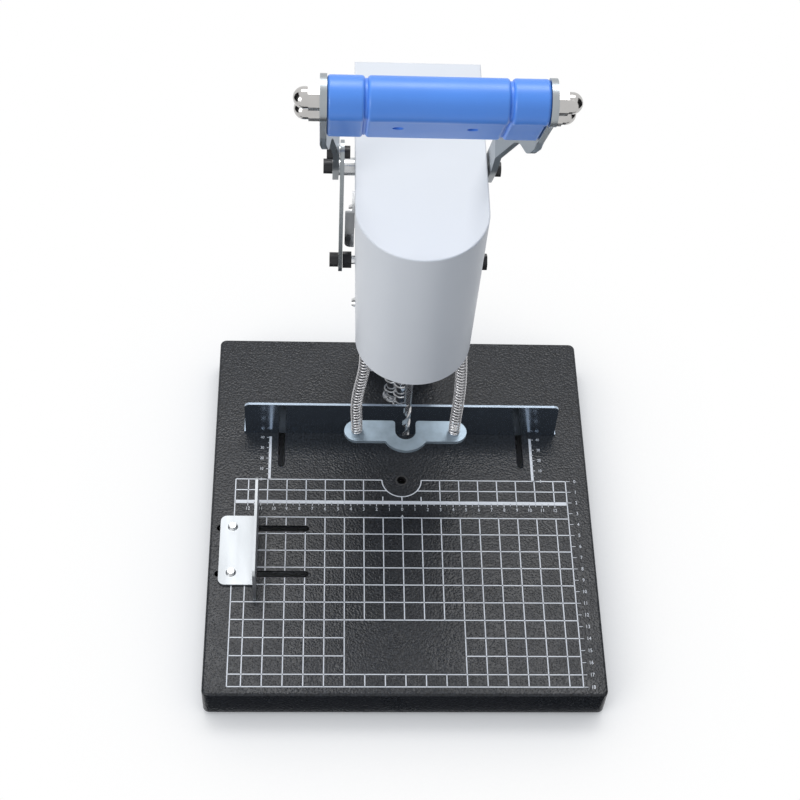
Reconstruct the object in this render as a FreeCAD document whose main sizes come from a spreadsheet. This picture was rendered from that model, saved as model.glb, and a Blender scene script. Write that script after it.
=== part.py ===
import FreeCAD, Part

import math
import os

import Sketcher
from FreeCAD import Placement, Rotation, Vector

# A desk paper drill. Millimetres, +Z up, -Y to the front where the user stands.
# The origin is the centre of the base's footprint, on the bench.
# "behind" is a distance behind the drill's axis, and "up" is a height above the table.

SIZES = {
    # base tray of formed sheet
    "base_width": 296.0,
    "base_depth": 326.0,
    "tray_height": 27.0,
    "tray_sheet": 2.0,
    "tray_corner": 5.0,
    "tray_edge": 2.0,
    "tray_lip": 20.0,
    "foot_height": 4.0,
    "foot_radius": 8.0,
    "foot_inset": 15.0,
    "drill_to_rear": 139.0,
    "chip_hole_radius": 5.0,
    # adjustable fence and side stop
    "fence_length": 248.0,
    "fence_height": 38.0,
    "fence_behind": 44.5,
    "fence_sheet": 2.0,
    "fence_tab_width": 60.0,
    "fence_tab_depth": 24.0,
    "fence_slot_side": 95.0,
    "fence_slot_front": 12.0,
    "fence_slot_rear": 66.0,
    "slot_width": 5.4,
    "stop_wall_margin": 37.0,
    "stop_wall_front": 109.0,
    "stop_wall_length": 87.0,
    "stop_foot_width": 29.0,
    "stop_foot_front": 96.5,
    "stop_foot_depth": 61.0,
    "stop_slot_margin": 5.0,
    "stop_slot_length": 71.0,
    "stop_slot_near": 45.5,
    "stop_slot_far": 86.0,
    "slide_gap": 0.1,
    # column and head frame
    "column_width": 60.0,
    "column_depth": 28.0,
    "column_behind": 108.0,
    "column_top": 300.0,
    "column_wall": 2.0,
    "frame_bottom": 186.0,
    "frame_top": 306.0,
    "frame_plate": 2.0,
    "frame_half": 38.5,
    "frame_front": 12.0,
    # head cover, a drafted U in plan
    "cover_bottom": 178.0,
    "cover_top": 311.0,
    "cover_half": 40.5,
    "cover_half_top": 43.5,
    "cover_nose_behind": 1.5,
    "cover_rear": 138.5,
    "cover_wall": 1.5,
    "cover_edge": 1.0,
    # lever
    "pivot_behind": 58.0,
    "pivot_up": 291.0,
    "lever_lean": 32.7,
    "lever_travel": 90.0,
    "arm_length": 189.0,
    "arm_plate": 4.0,
    "arm_spread": 62.3,
    "arm_left_low": 54.0,
    "arm_right_low": 44.7,
    "arm_eye": 9.0,
    "arm_bend_start": 62.0,
    "arm_bend_end": 122.0,
    "crank_radius": 45.5,
    "link_length": 100.7,
    "link_eye": 8.0,
    "link_plate": 2.6,
    "link_side": 50.6,
    "grip_radius": 13.0,
    "grip_half": 10.5,
    "grip_tail": 53.0,
    "grip_middle": 79.5,
    "grip_gap": 1.5,
    "grip_edge": 2.0,
    "groove_depth": 1.6,
    "tie_spacing": 26.0,
    "tie_radius": 4.0,
    # carriage and what rides on it
    "carriage_up": 186.0,
    "carriage_plate": 8.0,
    "carriage_half": 35.0,
    "carriage_rear": 94.0,
    "axle_behind": 30.0,
    "axle_radius": 3.0,
    "axle_block": 11.0,
    "sleeve_up": 150.0,
    "sleeve_radius": 8.5,
    "sleeve_top": 214.0,
    "post_radius": 5.0,
    "post_one_behind": 58.0,
    "post_two_behind": 82.0,
    "post_two_side": -6.0,
    "motor_radius": 21.0,
    "motor_height": 60.0,
    "spindle_radius": 4.0,
    "chuck_radius": 11.0,
    "chuck_top": 184.0,
    "chuck_nose": 140.0,
    "chuck_nose_radius": 7.0,
    "drill_radius": 3.0,
    "drill_tip": 62.0,
    "drill_flute_top": 105.0,
    "drill_shank_in": 14.0,
    "drill_lead": 31.0,
    # presser foot on its two springs
    "presser_up": 64.5,
    "presser_plate": 3.0,
    "presser_half": 46.3,
    "presser_reach": 9.5,
    "presser_lobe": 18.0,
    "presser_notch": 7.8,
    "presser_spring_side": 36.8,
    "carriage_spring_side": 34.0,
    "stud_radius": 2.4,
    "stud_length": 4.0,
    "presser_coil": 3.8,
    "presser_wire": 0.55,
    "presser_turns": 36.0,
    "presser_bow": 2.1,
    "return_coil": 6.7,
    "return_wire": 0.75,
    "return_turns": 13.0,
    # fasteners
    "bolt_radius": 3.0,
    "bolt_head": 5.0,
    "screw_radius": 2.45,
    "screw_head": 3.9,
    "small_screw": 2.0,
    "small_head": 3.6,
    "nut_height": 5.0,
    "fit": 0.05,
    "air_gap": 0.3,
    # power switch and inlet in the rear wall
    "switch_side": -62.0,
    "switch_width": 21.0,
    "switch_height": 15.0,
    "inlet_side": -96.0,
    "bezel": 1.5,
    "supply_margin": 16.0,
    "supply_width": 56.0,
    "supply_depth": 42.0,
    "supply_height": 17.0,
    "supply_behind_room": 21.0,
}

doc = FreeCAD.newDocument("paper_drill")
sheet = doc.addObject("Spreadsheet::Sheet", "sizes")


class Size:
    """A length or an angle: its number, and the formula on the sheet that gives it."""

    def __init__(self, number, formula):
        self.number = number
        self.formula = formula

    def join(self, other, sign, number):
        return Size(number, "(" + self.formula + " " + sign + " " + sized(other).formula + ")")

    def __add__(self, other):
        return self.join(other, "+", self.number + sized(other).number)

    def __sub__(self, other):
        return self.join(other, "-", self.number - sized(other).number)

    def __mul__(self, other):
        return self.join(other, "*", self.number * sized(other).number)

    def __truediv__(self, other):
        return self.join(other, "/", self.number / sized(other).number)

    def __radd__(self, other):
        return sized(other) + self

    def __rsub__(self, other):
        return sized(other) - self

    def __rmul__(self, other):
        return sized(other) * self

    def __neg__(self):
        return Size(-self.number, "(0 - " + self.formula + ")")


def sized(value):
    if isinstance(value, Size):
        return value
    return Size(float(value), repr(float(value)))


def cosine(angle):
    return Size(math.cos(math.radians(angle.number)), "cos(" + angle.formula + ")")


def sine(angle):
    return Size(math.sin(math.radians(angle.number)), "sin(" + angle.formula + ")")


def root(value):
    return Size(math.sqrt(value.number), "sqrt(" + value.formula + ")")


class Dims:
    """The driving sizes, by name."""


dim = Dims()
for row, (alias, number) in enumerate(SIZES.items(), start=1):
    sheet.set("A" + str(row), alias)
    sheet.set("B" + str(row), str(number))
    sheet.setAlias("B" + str(row), alias)
    setattr(dim, alias, Size(number, "sizes." + alias))
doc.recompute()

table = dim.foot_height + dim.tray_height
NODES = []


def behind(distance):
    """The Y of a point this far behind the drill's axis."""
    return dim.base_depth / 2 - dim.drill_to_rear + distance


def up(height):
    """The Z of a point this high above the table."""
    return table + height


def bind(thing, prop, size):
    thing.setExpression(prop, sized(size).formula)


def place(thing, x, y, z):
    bind(thing, "Placement.Base.x", x)
    bind(thing, "Placement.Base.y", y)
    bind(thing, "Placement.Base.z", z)
    return thing


def add(kind, name):
    return doc.addObject(kind, name)


def block(name, x, y, z, width, depth, height):
    """A box from its low corner."""
    thing = add("Part::Box", name)
    bind(thing, "Length", width)
    bind(thing, "Width", depth)
    bind(thing, "Height", height)
    return place(thing, x, y, z)


TURN = {
    "X": Rotation(Vector(0, 1, 0), 90),
    "Y": Rotation(Vector(1, 0, 0), -90),
    "Z": Rotation(),
}


def rod(name, axis, x, y, z, radius, length):
    """A cylinder from its start point along an axis."""
    thing = add("Part::Cylinder", name)
    thing.Placement = Placement(Vector(), TURN[axis])
    bind(thing, "Radius", radius)
    bind(thing, "Height", length)
    return place(thing, x, y, z)


def cone(name, x, y, z, low, high, height):
    thing = add("Part::Cone", name)
    bind(thing, "Radius1", low)
    bind(thing, "Radius2", high)
    bind(thing, "Height", height)
    return place(thing, x, y, z)


def hexagon(name, axis, x, y, z, radius, length):
    """A six-sided bar from its start point along an axis."""
    thing = add("Part::Prism", name)
    thing.Polygon = 6
    thing.Placement = Placement(Vector(), TURN[axis])
    bind(thing, "Circumradius", radius)
    bind(thing, "Height", length)
    return place(thing, x, y, z)


def ball(name, x, y, z, radius):
    thing = add("Part::Sphere", name)
    bind(thing, "Radius", radius)
    return place(thing, x, y, z)


def fuse(name, *parts):
    thing = add("Part::MultiFuse", name)
    thing.Shapes = list(parts)
    return thing


def group(name, *parts):
    thing = add("Part::Compound", name)
    thing.Links = list(parts)
    return thing


def cut(name, base, *tools):
    thing = add("Part::Cut", name)
    thing.Base = base
    thing.Tool = tools[0] if len(tools) == 1 else fuse(name + "_tools", *tools)
    return thing


def common(name, first, second):
    thing = add("Part::Common", name)
    thing.Base = first
    thing.Tool = second
    return thing


def rounded(name, base, radius, chosen):
    """Round the edges that a test picks by their middle and their box."""
    doc.recompute()
    thing = add("Part::Fillet", name)
    thing.Base = base
    picked = []
    for index, edge in enumerate(base.Shape.Edges, start=1):
        if chosen(edge):
            picked.append((index, radius.number, radius.number))
    thing.Edges = picked
    return thing


def node(label, thing):
    """Name a finished piece, which is written to a file of its own."""
    thing.Label = label
    NODES.append(thing)
    return thing


def plane(body, role):
    return [item for item in body.Origin.OriginFeatures if item.Role == role][0]


def corner_arc(before, corner, after, radius):
    """The two tangent points and the middle of an arc that rounds a corner."""
    to_before = (before - corner).normalize()
    to_after = (after - corner).normalize()
    half = to_before.getAngle(to_after) / 2
    reach = radius / math.tan(half)
    middle = (to_before + to_after).normalize()
    centre = corner + middle * (radius / math.sin(half))
    return corner + to_before * reach, centre - middle * radius, corner + to_after * reach


def fix_point(sketch, geometry, position, x, y):
    for kind, size in (("DistanceX", x), ("DistanceY", y)):
        index = sketch.addConstraint(Sketcher.Constraint(kind, -1, 1, geometry, position, size.number))
        sketch.setExpression("Constraints[" + str(index) + "]", size.formula)


def outline(body, role, corners, offset=0.0, holes=()):
    """A closed sketch through corners given as (x, y) or (x, y, radius), with round holes."""
    sketch = body.newObject("Sketcher::SketchObject", body.Name + "_sketch")
    sketch.AttachmentSupport = [(plane(body, role), "")]
    sketch.MapMode = "FlatFace"
    bind(sketch, "AttachmentOffset.Base.z", offset)
    spots = [Vector(sized(c[0]).number, sized(c[1]).number, 0) for c in corners]
    count = len(corners)
    starts = list(spots)
    ends = list(spots)
    arcs = {}
    for i, corner in enumerate(corners):
        if len(corner) == 3:
            first, middle, last = corner_arc(
                spots[i - 1], spots[i], spots[(i + 1) % count], sized(corner[2]).number
            )
            ends[i] = first
            starts[i] = last
            arcs[i] = sketch.addGeometry(Part.Arc(first, middle, last), False)
    lines = []
    for i in range(count):
        lines.append(sketch.addGeometry(Part.LineSegment(starts[i], ends[(i + 1) % count]), False))
    for i, corner in enumerate(corners):
        x = sized(corner[0])
        y = sized(corner[1])
        coming = lines[i - 1]
        going = lines[i]
        if i not in arcs:
            sketch.addConstraint(Sketcher.Constraint("Coincident", coming, 2, going, 1))
            fix_point(sketch, going, 1, x, y)
            continue
        point = sketch.addGeometry(Part.Point(spots[i]), True)
        fix_point(sketch, point, 1, x, y)
        sketch.addConstraint(Sketcher.Constraint("PointOnObject", point, 1, coming))
        sketch.addConstraint(Sketcher.Constraint("PointOnObject", point, 1, going))
        arc = arcs[i]
        begins = (sketch.getPoint(arc, 1) - ends[i]).Length < 1e-6
        near, far = (1, 2) if begins else (2, 1)
        sketch.addConstraint(Sketcher.Constraint("Tangent", coming, 2, arc, near))
        sketch.addConstraint(Sketcher.Constraint("Tangent", arc, far, going, 1))
        radius = sized(corner[2])
        index = sketch.addConstraint(Sketcher.Constraint("Radius", arc, radius.number))
        sketch.setExpression("Constraints[" + str(index) + "]", radius.formula)
    for x, y, radius in holes:
        centre = Vector(sized(x).number, sized(y).number, 0)
        circle = sketch.addGeometry(
            Part.Circle(centre, Vector(0, 0, 1), sized(radius).number), False
        )
        fix_point(sketch, circle, 3, sized(x), sized(y))
        index = sketch.addConstraint(Sketcher.Constraint("Radius", circle, sized(radius).number))
        sketch.setExpression("Constraints[" + str(index) + "]", sized(radius).formula)
    return sketch


def pad(name, role, corners, length, offset=0.0, holes=(), both=False):
    """A plate: a sketch on an origin plane, padded away from it or to both sides."""
    body = add("PartDesign::Body", name)
    feature = body.newObject("PartDesign::Pad", name + "_pad")
    feature.Profile = (outline(body, role, corners, offset, holes), [])
    bind(feature, "Length", length)
    if both:
        feature.SideType = "Symmetric"
    return body


def revolve(name, corners):
    """A turned piece: a half section of (radius, height) corners turned about Z."""
    body = add("PartDesign::Body", name)
    feature = body.newObject("PartDesign::Revolution", name + "_turn")
    sketch = outline(body, "XZ_Plane", corners)
    feature.Profile = (sketch, [])
    feature.ReferenceAxis = (sketch, ["V_Axis"])
    feature.Angle = 360.0
    return body


def stadium(name, x, y, z, radius, length, height, axis):
    """A slot's cutter, its ends at radius beyond the two centres."""
    first = rod(name + "_a", "Z", x, y, z, radius, height)
    if axis == "X":
        last = rod(name + "_b", "Z", x + length, y, z, radius, height)
        middle = block(name + "_m", x, y - radius, z, length, 2 * radius, height)
    else:
        last = rod(name + "_b", "Z", x, y + length, z, radius, height)
        middle = block(name + "_m", x - radius, y, z, 2 * radius, length, height)
    return fuse(name, first, last, middle)


# Base

def make_tray():
    half = dim.base_width / 2
    deep = dim.base_depth / 2
    corners = [(-half, -deep), (half, -deep), (half, deep), (-half, deep)]
    outer = pad(
        "tray_outer", "XY_Plane",
        [(x, y, dim.tray_corner) for x, y in corners], dim.tray_height, dim.foot_height,
    )
    top = table.number
    outer = rounded("tray_rounded", outer, dim.tray_edge, lambda e: e.BoundBox.ZMin > top - 0.01)
    wall = dim.tray_sheet
    inside = half - wall
    far = deep - wall
    cavity = pad(
        "tray_cavity", "XY_Plane",
        [
            (x, y, dim.tray_corner - wall)
            for x, y in ((-inside, -far), (inside, -far), (inside, far), (-inside, far))
        ],
        dim.tray_height - 2 * wall, dim.foot_height + wall,
    )
    lip = dim.tray_lip
    opening = block(
        "tray_opening", -half + lip, -deep + lip, dim.foot_height - 1,
        dim.base_width - 2 * lip, dim.base_depth - 2 * lip, 2 + wall,
    )
    below = table - wall - 1
    through = wall + 2
    tools = [cavity, opening]
    tools.append(rod("chip_hole", "Z", 0, behind(0), below, dim.chip_hole_radius, through))
    narrow = dim.slot_width / 2
    for side in (-1, 1):
        tools.append(stadium(
            "fence_slot", side * dim.fence_slot_side, behind(dim.fence_slot_front + narrow), below,
            narrow, dim.fence_slot_rear - dim.fence_slot_front - 2 * narrow, through, "Y",
        ))
    for front in (dim.stop_slot_near, dim.stop_slot_far):
        tools.append(stadium(
            "stop_slot", -half + dim.stop_slot_margin + narrow, behind(-front), below,
            narrow, dim.stop_slot_length - 2 * narrow, through, "X",
        ))
    for x, y in post_spots():
        tools.append(rod("post_hole", "Z", x, y, below, dim.post_radius + dim.fit, through))
    for x, y in column_bolt_spots():
        tools.append(rod("column_bolt_hole", "Z", x, y, below, dim.bolt_radius + dim.fit, through))
    for x, y in foot_spots():
        tools.append(rod("foot_hole", "Z", x, y, dim.foot_height - 1, dim.small_screw + dim.fit, through))
    tools += rear_openings()
    node("base_tray", cut("tray", outer, *tools))


def foot_spots():
    x = dim.base_width / 2 - dim.foot_inset
    y = dim.base_depth / 2 - dim.foot_inset
    return [(-x, -y), (x, -y), (x, y), (-x, y)]


def post_spots():
    return [
        (sized(0), behind(dim.post_one_behind)),
        (dim.post_two_side, behind(dim.post_two_behind)),
    ]


def column_bolt_spots():
    y = behind(dim.column_behind + dim.column_depth / 2)
    x = dim.column_width / 4
    return [(-x, y), (x, y)]


def make_feet():
    lip_top = dim.foot_height + dim.tray_sheet
    feet = []
    nuts = []
    for x, y in foot_spots():
        pad_low = dim.foot_height / 2
        feet.append(fuse(
            "foot",
            cone("foot_low", x, y, 0, dim.foot_radius - 1, dim.foot_radius, pad_low),
            rod("foot_high", "Z", x, y, pad_low, dim.foot_radius, pad_low),
            rod("foot_stud", "Z", x, y, pad_low, dim.small_screw, pad_low + dim.tray_sheet + 4),
        ))
        ring = hexagon("foot_nut", "Z", x, y, lip_top, 4.2, 3.2)
        bore = rod("foot_nut_bore", "Z", x, y, lip_top - 1, dim.small_screw + dim.fit, 6)
        nuts.append(cut("foot_nut_cut", ring, bore))
    node("rubber_feet", group("feet", *feet))
    node("foot_nuts", group("feet_nuts", *nuts))


def make_chip_bush():
    under = table - dim.tray_sheet
    barrel = rod("bush_barrel", "Z", 0, behind(0), under, dim.chip_hole_radius - dim.fit, dim.tray_sheet)
    flange = rod("bush_flange", "Z", 0, behind(0), under - 3, dim.chip_hole_radius + 4, 3)
    hole = rod("bush_hole", "Z", 0, behind(0), under - 4, dim.drill_radius + 0.6, dim.tray_sheet + 8)
    node("chip_bush", cut("chip_bush_cut", fuse("bush", barrel, flange), hole))


# Column, posts and head frame

def make_column():
    half = dim.column_width / 2
    wall = dim.column_wall
    front = behind(dim.column_behind)
    tube = block("column_outer", -half, front, table, dim.column_width, dim.column_depth, dim.column_top)
    inside = block(
        "column_inner", -half + wall, front + wall, table - 1,
        dim.column_width - 2 * wall, dim.column_depth - 2 * wall, dim.column_top + 2,
    )
    holes = []
    for height in frame_screw_heights():
        holes.append(rod(
            "column_screw_hole", "Y", 0, front - 1, up(height), dim.small_screw + dim.fit, wall + 2
        ))
    node("column", cut("column_tube", tube, inside, *holes))
    plug = block(
        "plug_block", -half + wall, front + wall, table,
        dim.column_width - 2 * wall, dim.column_depth - 2 * wall, 8,
    )
    stiff_half = half + 15
    under = table - dim.tray_sheet
    stiff = block(
        "stiffener", -stiff_half, front - 8, under - 3, 2 * stiff_half, dim.column_depth + 8, 3
    )
    plug_bores = []
    stiff_bores = []
    bolts = []
    for x, y in column_bolt_spots():
        plug_bores.append(rod("plug_bore", "Z", x, y, table - 1, dim.bolt_radius + dim.fit, 12))
        stiff_bores.append(rod("stiff_bore", "Z", x, y, under - 4, dim.bolt_radius + dim.fit, 6))
        bolts.append(fuse(
            "column_bolt",
            rod("column_shank", "Z", x, y, under - 3, dim.bolt_radius, dim.tray_sheet + 3 + 8),
            hexagon("column_head", "Z", x, y, under - 3 - 4, 5.8, 4),
        ))
    node("column_plug", cut("column_plug_cut", plug, *plug_bores))
    node("stiffener_plate", cut("stiffener_cut", stiff, *stiff_bores))
    node("column_bolts", group("column_bolts_group", *bolts))


def frame_screw_heights():
    return [dim.frame_bottom + 20, dim.frame_top - 20]


def slot_bottom_cut(name, x, width, low):
    """The open slot that the cross axle runs down, in a side wall."""
    reach = dim.axle_radius + 0.9
    top = axle_up()
    return fuse(
        name,
        rod(name + "_eye", "X", x, behind(dim.axle_behind), up(top), reach, width),
        block(
            name + "_way", x, behind(dim.axle_behind) - reach, up(low) - 1,
            width, 2 * reach, top - low + 1,
        ),
    )


def make_head_frame():
    half = dim.frame_half
    plate = dim.frame_plate
    low = dim.frame_bottom
    tall = dim.frame_top - low
    rear = dim.column_behind
    web = 3.0
    length = rear - dim.frame_front
    sides = [
        block("frame_left", -half, behind(dim.frame_front), up(low), plate, length, tall),
        block("frame_right", half - plate, behind(dim.frame_front), up(low), plate, length, tall),
        block("frame_web", -half, behind(rear - web), up(low), 2 * half, web, tall),
        block(
            "frame_roof", -half, behind(dim.post_one_behind - 16), up(dim.frame_top - web),
            2 * half, rear - dim.post_one_behind + 16, web,
        ),
    ]
    tools = []
    for side, x in ((-1, -half - 1), (1, half - plate - 1)):
        tools.append(slot_bottom_cut("frame_slot", x, plate + 2, low))
        tools.append(rod(
            "frame_pivot", "X", x, behind(dim.pivot_behind), up(dim.pivot_up),
            dim.bolt_radius + dim.fit, plate + 2,
        ))
        for y, z in cover_screw_spots():
            tools.append(rod("frame_tap", "X", x, behind(y), up(z), dim.small_screw + dim.fit, plate + 2))
    for x, y in post_spots():
        tools.append(rod(
            "frame_post", "Z", x, y, up(dim.frame_top - web - 1), dim.post_radius + dim.fit, web + 2
        ))
    for height in frame_screw_heights():
        tools.append(rod(
            "frame_screw_hole", "Y", 0, behind(rear - web - 1), up(height),
            dim.small_screw + dim.fit, web + 2,
        ))
    node("head_frame", cut("frame_cut", fuse("frame", *sides), *tools))
    screws = []
    for height in frame_screw_heights():
        screws.append(fuse(
            "frame_screw",
            rod(
                "frame_screw_shank", "Y", 0, behind(rear - web), up(height),
                dim.small_screw, web + dim.column_wall + 4,
            ),
            rod("frame_screw_head", "Y", 0, behind(rear - web) - 2.2, up(height), dim.small_head, 2.2),
        ))
    node("frame_screws", group("frame_screws_group", *screws))


def make_posts():
    posts = []
    nuts = []
    under = table - dim.tray_sheet
    for x, y in post_spots():
        posts.append(fuse(
            "post",
            rod("post_rod", "Z", x, y, under - 8, dim.post_radius, dim.frame_top + dim.tray_sheet + 8),
            rod("post_collar", "Z", x, y, table, dim.sleeve_radius - 0.5, 2),
        ))
        nuts.append(cut(
            "post_nut",
            hexagon("post_nut_hex", "Z", x, y, under - 6, 8.7, 6),
            rod("post_nut_bore", "Z", x, y, under - 7, dim.post_radius + dim.fit, 8),
        ))
    node("guide_posts", group("posts", *posts))
    node("post_nuts", group("posts_nuts", *nuts))


# Head cover

def cover_half_at(height):
    rise = (dim.cover_half_top - dim.cover_half) / (dim.cover_top - dim.cover_bottom)
    return dim.cover_half + (height - dim.cover_bottom) * rise


def cover_solid(name, inset, low, high):
    """The cover's drafted form: a cone at the front run into a wedge behind it."""
    low_half = cover_half_at(low) - inset
    high_half = cover_half_at(high) - inset
    nose = behind(dim.cover_nose_behind)
    front = cone(name + "_nose", 0, nose, up(low), low_half, high_half, high - low)
    rear = add("Part::Wedge", name + "_rear")
    rear.Placement = Placement(Vector(), Rotation(Vector(1, 0, 0), 90))
    length = dim.cover_rear - dim.cover_nose_behind - inset
    sizes = {
        "Xmin": -low_half, "Xmax": low_half, "X2min": -high_half, "X2max": high_half,
        "Ymin": 0, "Ymax": high - low,
        "Zmin": -length, "Zmax": 0, "Z2min": -length, "Z2max": 0,
    }
    for prop, size in sizes.items():
        bind(rear, prop, size)
    place(rear, 0, nose, up(low))
    return fuse(name, front, rear)


def cover_screw_spots():
    """(behind, up) of the screws on each side of the cover."""
    return [(20.0, 195.0), (90.0, 200.0), (97.0, 288.0)]


def bracket_screw_spot():
    return (52.0, 256.0)


def make_cover():
    wall = dim.cover_wall
    outer = cover_solid("cover_outer", sized(0), dim.cover_bottom, dim.cover_top)
    top = up(dim.cover_top).number
    outer = rounded("cover_rounded", outer, dim.cover_edge, lambda e: e.BoundBox.ZMin > top - 0.01)
    inner = cover_solid("cover_inner", wall, dim.cover_bottom - 1, dim.cover_top - wall)
    tools = [inner]
    deep = 12.0
    for side in (-1, 1):
        x = side * (dim.cover_half + 1) - deep / 2
        tools.append(slot_bottom_cut("cover_slot", x, deep, dim.cover_bottom))
        tools.append(rod(
            "cover_pivot", "X", x, behind(dim.pivot_behind), up(dim.pivot_up),
            dim.bolt_head + 1 + dim.air_gap, deep,
        ))
        for y, z in cover_screw_spots():
            tools.append(rod("cover_hole", "X", x, behind(y), up(z), dim.small_screw + dim.air_gap, deep))
    y, z = bracket_screw_spot()
    x = -dim.cover_half - 1 - deep / 2
    tools.append(rod("bracket_hole", "X", x, behind(y), up(z), dim.small_screw + dim.air_gap, deep))
    node("head_cover", cut("cover", outer, *tools))


def pan_screw(name, side, seat, y, z, length):
    """A pan-head screw whose head sits on a side wall and whose shank points inwards."""
    head = 2.4
    crown = cone(name + "_crown", 0, 0, 0, dim.small_head, dim.small_head - 1.2, head)
    shank = rod(name + "_shank", "Z", 0, 0, -length, dim.small_screw, length)
    across = block(name + "_cross", -2, -0.4, head - 1, 4, 0.8, 2)
    along = block(name + "_cross", -0.4, -2, head - 1, 0.8, 4, 2)
    screw = cut(name, fuse(name + "_body", crown, shank), fuse(name + "_drive", across, along))
    screw.Placement = Placement(Vector(), Rotation(Vector(0, 1, 0), 90 * side))
    return place(screw, seat * side, y, z)


def make_cover_screws():
    screws = []
    for side in (-1, 1):
        for y, z in cover_screw_spots():
            seat = cover_half_at(sized(z)) + 0.1
            reach = seat - dim.frame_half + dim.frame_plate + 1
            screws.append(pan_screw("cover_screw", side, seat, behind(y), up(z), reach))
    node("cover_screws", group("cover_screws_group", *screws))


def bracket_leg():
    """How far out the stop bracket's inner face stands, just clear of the drafted wall."""
    return cover_half_at(sized(265.0)) + 0.15


def make_stop_bracket():
    low = 230.0
    high = 265.0
    front = 40.4
    sheet_thick = 1.6
    inner = bracket_leg()
    reach = dim.link_side - dim.air_gap - inner - 1.2
    tab = pad(
        "bracket_tab", "XZ_Plane",
        [
            (-inner - reach, up(low), 4.0), (-inner, up(low)),
            (-inner, up(high)), (-inner - reach, up(high)),
        ],
        sheet_thick, -behind(front + sheet_thick),
    )
    leg = block("bracket_leg", -inner - sheet_thick, behind(front), up(low), sheet_thick, 20, high - low)
    y, z = bracket_screw_spot()
    hole = rod("bracket_leg_hole", "X", -inner - 4, behind(y), up(z), dim.small_screw + dim.fit, 8)
    node("stop_bracket", cut("bracket_cut", fuse("bracket", tab, leg), hole))
    seat = inner + sheet_thick
    node("bracket_screw", pan_screw("bracket_screw_pan", -1, seat, behind(y), up(z), 5))


# Lever

def lever_point(distance, turned=0.0):
    """(behind, up) of a point on the lever's centre line, with the lever turned from rest."""
    lean = dim.lever_lean + turned
    return dim.pivot_behind - distance * sine(lean), dim.pivot_up + distance * cosine(lean)


def axle_up():
    """The cross axle's height at rest, from the crank pin and the link's length."""
    pin_y, pin_z = lever_point(dim.crank_radius)
    offset = pin_y - dim.axle_behind
    return pin_z - root(dim.link_length * dim.link_length - offset * offset)


def stroke():
    """How far the link has pulled the carriage down when the lever is at its limit."""
    pin_y, pin_z = lever_point(dim.crank_radius, dim.lever_travel)
    offset = dim.axle_behind - pin_y
    return axle_up() - pin_z + root(dim.link_length * dim.link_length - offset * offset)


def lean_back(thing):
    """Stand a piece drawn along the lever on its pivot, at the lever's lean."""
    thing.Placement = Placement(Vector(), Rotation(Vector(1, 0, 0), dim.lever_lean.number))
    thing.setExpression("Placement.Rotation.Angle", dim.lever_lean.formula)
    return place(thing, 0, behind(dim.pivot_behind), up(dim.pivot_up))


def make_arm(side, low, label):
    """A flat plate cut to the arm's outline, bent outwards to meet the end of the grip."""
    top = dim.arm_length
    nose = dim.grip_radius + 0.6
    eye = dim.arm_eye
    half = dim.grip_half + 0.5
    face = pad(
        label + "_face", "YZ_Plane",
        [
            (eye, -eye, eye - 0.01), (half, 104.0, 60.0), (half, top), (-half, top),
            (-half, 134.0, 30.0), (-half - 2.2, 111.0, 9.0), (-1.0, 97.0, 16.0),
            (-eye, 34.0, 70.0), (-eye, -eye, eye - 0.01),
        ],
        90.0, 0, (), True,
    )
    cap = rod(label + "_cap", "X", -45, 0, top, nose, 90)
    start = dim.arm_bend_start
    end = dim.arm_bend_end
    thick = dim.arm_plate
    high = dim.arm_spread
    far = top + 2 * nose
    near = -2 * eye
    strip = pad(
        label + "_strip", "XZ_Plane",
        [
            (low, near), (low + thick, near), (low + thick, start), (high + thick, end),
            (high + thick, far), (high, far), (high, end), (low, start),
        ],
        120.0, 0, (), True,
    )
    shell = fuse(label + "_profile", face, cap)
    shell.Placement = Placement(Vector(55, 0, 0), Rotation())
    if side < 0:
        mirror = add("Part::Mirroring", label + "_mirror")
        mirror.Source = strip
        mirror.Normal = Vector(1, 0, 0)
        strip = mirror
        shell.Placement = Placement(Vector(-55, 0, 0), Rotation())
    bores = [rod(label + "_pivot", "X", -80, 0, 0, dim.bolt_radius + dim.fit, 160)]
    if side < 0:
        bores.append(rod(label + "_pin", "X", -80, 0, dim.crank_radius, dim.bolt_radius + dim.fit / 2, 160))
    for height in (top, top - dim.tie_spacing):
        bores.append(rod(label + "_tie", "X", -80, 0, height, dim.tie_radius + dim.fit, 160))
    node(label, lean_back(cut(label + "_cut", common(label + "_bent", shell, strip), *bores)))


def grip_piece(name, x, width, marked):
    """A length of the grip: a round nose on a flat-sided tail, bored for the tie rods."""
    top = dim.arm_length
    tail = dim.grip_tail
    left = sized(x).number
    right = left + sized(width).number

    def at_end(edge):
        box = edge.BoundBox
        outside = box.XMax - box.XMin < 1e-4 and min(abs(box.XMin - left), abs(box.XMin - right)) < 1e-3
        return outside and box.ZMin < top.number - 0.01

    nose = rounded(
        name + "_nose_soft", rod(name + "_nose", "X", x, 0, top, dim.grip_radius, width),
        dim.grip_edge, at_end,
    )
    flat = pad(
        name + "_tail", "YZ_Plane",
        [
            (-dim.grip_half, top - tail, 3.0), (dim.grip_half, top - tail, 3.0),
            (dim.grip_half, top), (-dim.grip_half, top),
        ],
        width, x,
    )
    flat = rounded(name + "_tail_soft", flat, dim.grip_edge, at_end)
    tools = []
    for height in (top, top - dim.tie_spacing):
        tools.append(rod(name + "_bore", "X", x - 1, 0, height, dim.tie_radius + dim.fit, width + 2))
    if marked:
        for side in (-1, 1):
            tools.append(rod(
                name + "_screw", "Y", side * 21.5, -dim.grip_half - 1, top - dim.tie_spacing,
                dim.screw_head - 0.7, 5.5,
            ))
    return cut(name, fuse(name + "_solid", nose, flat), *tools)


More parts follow.
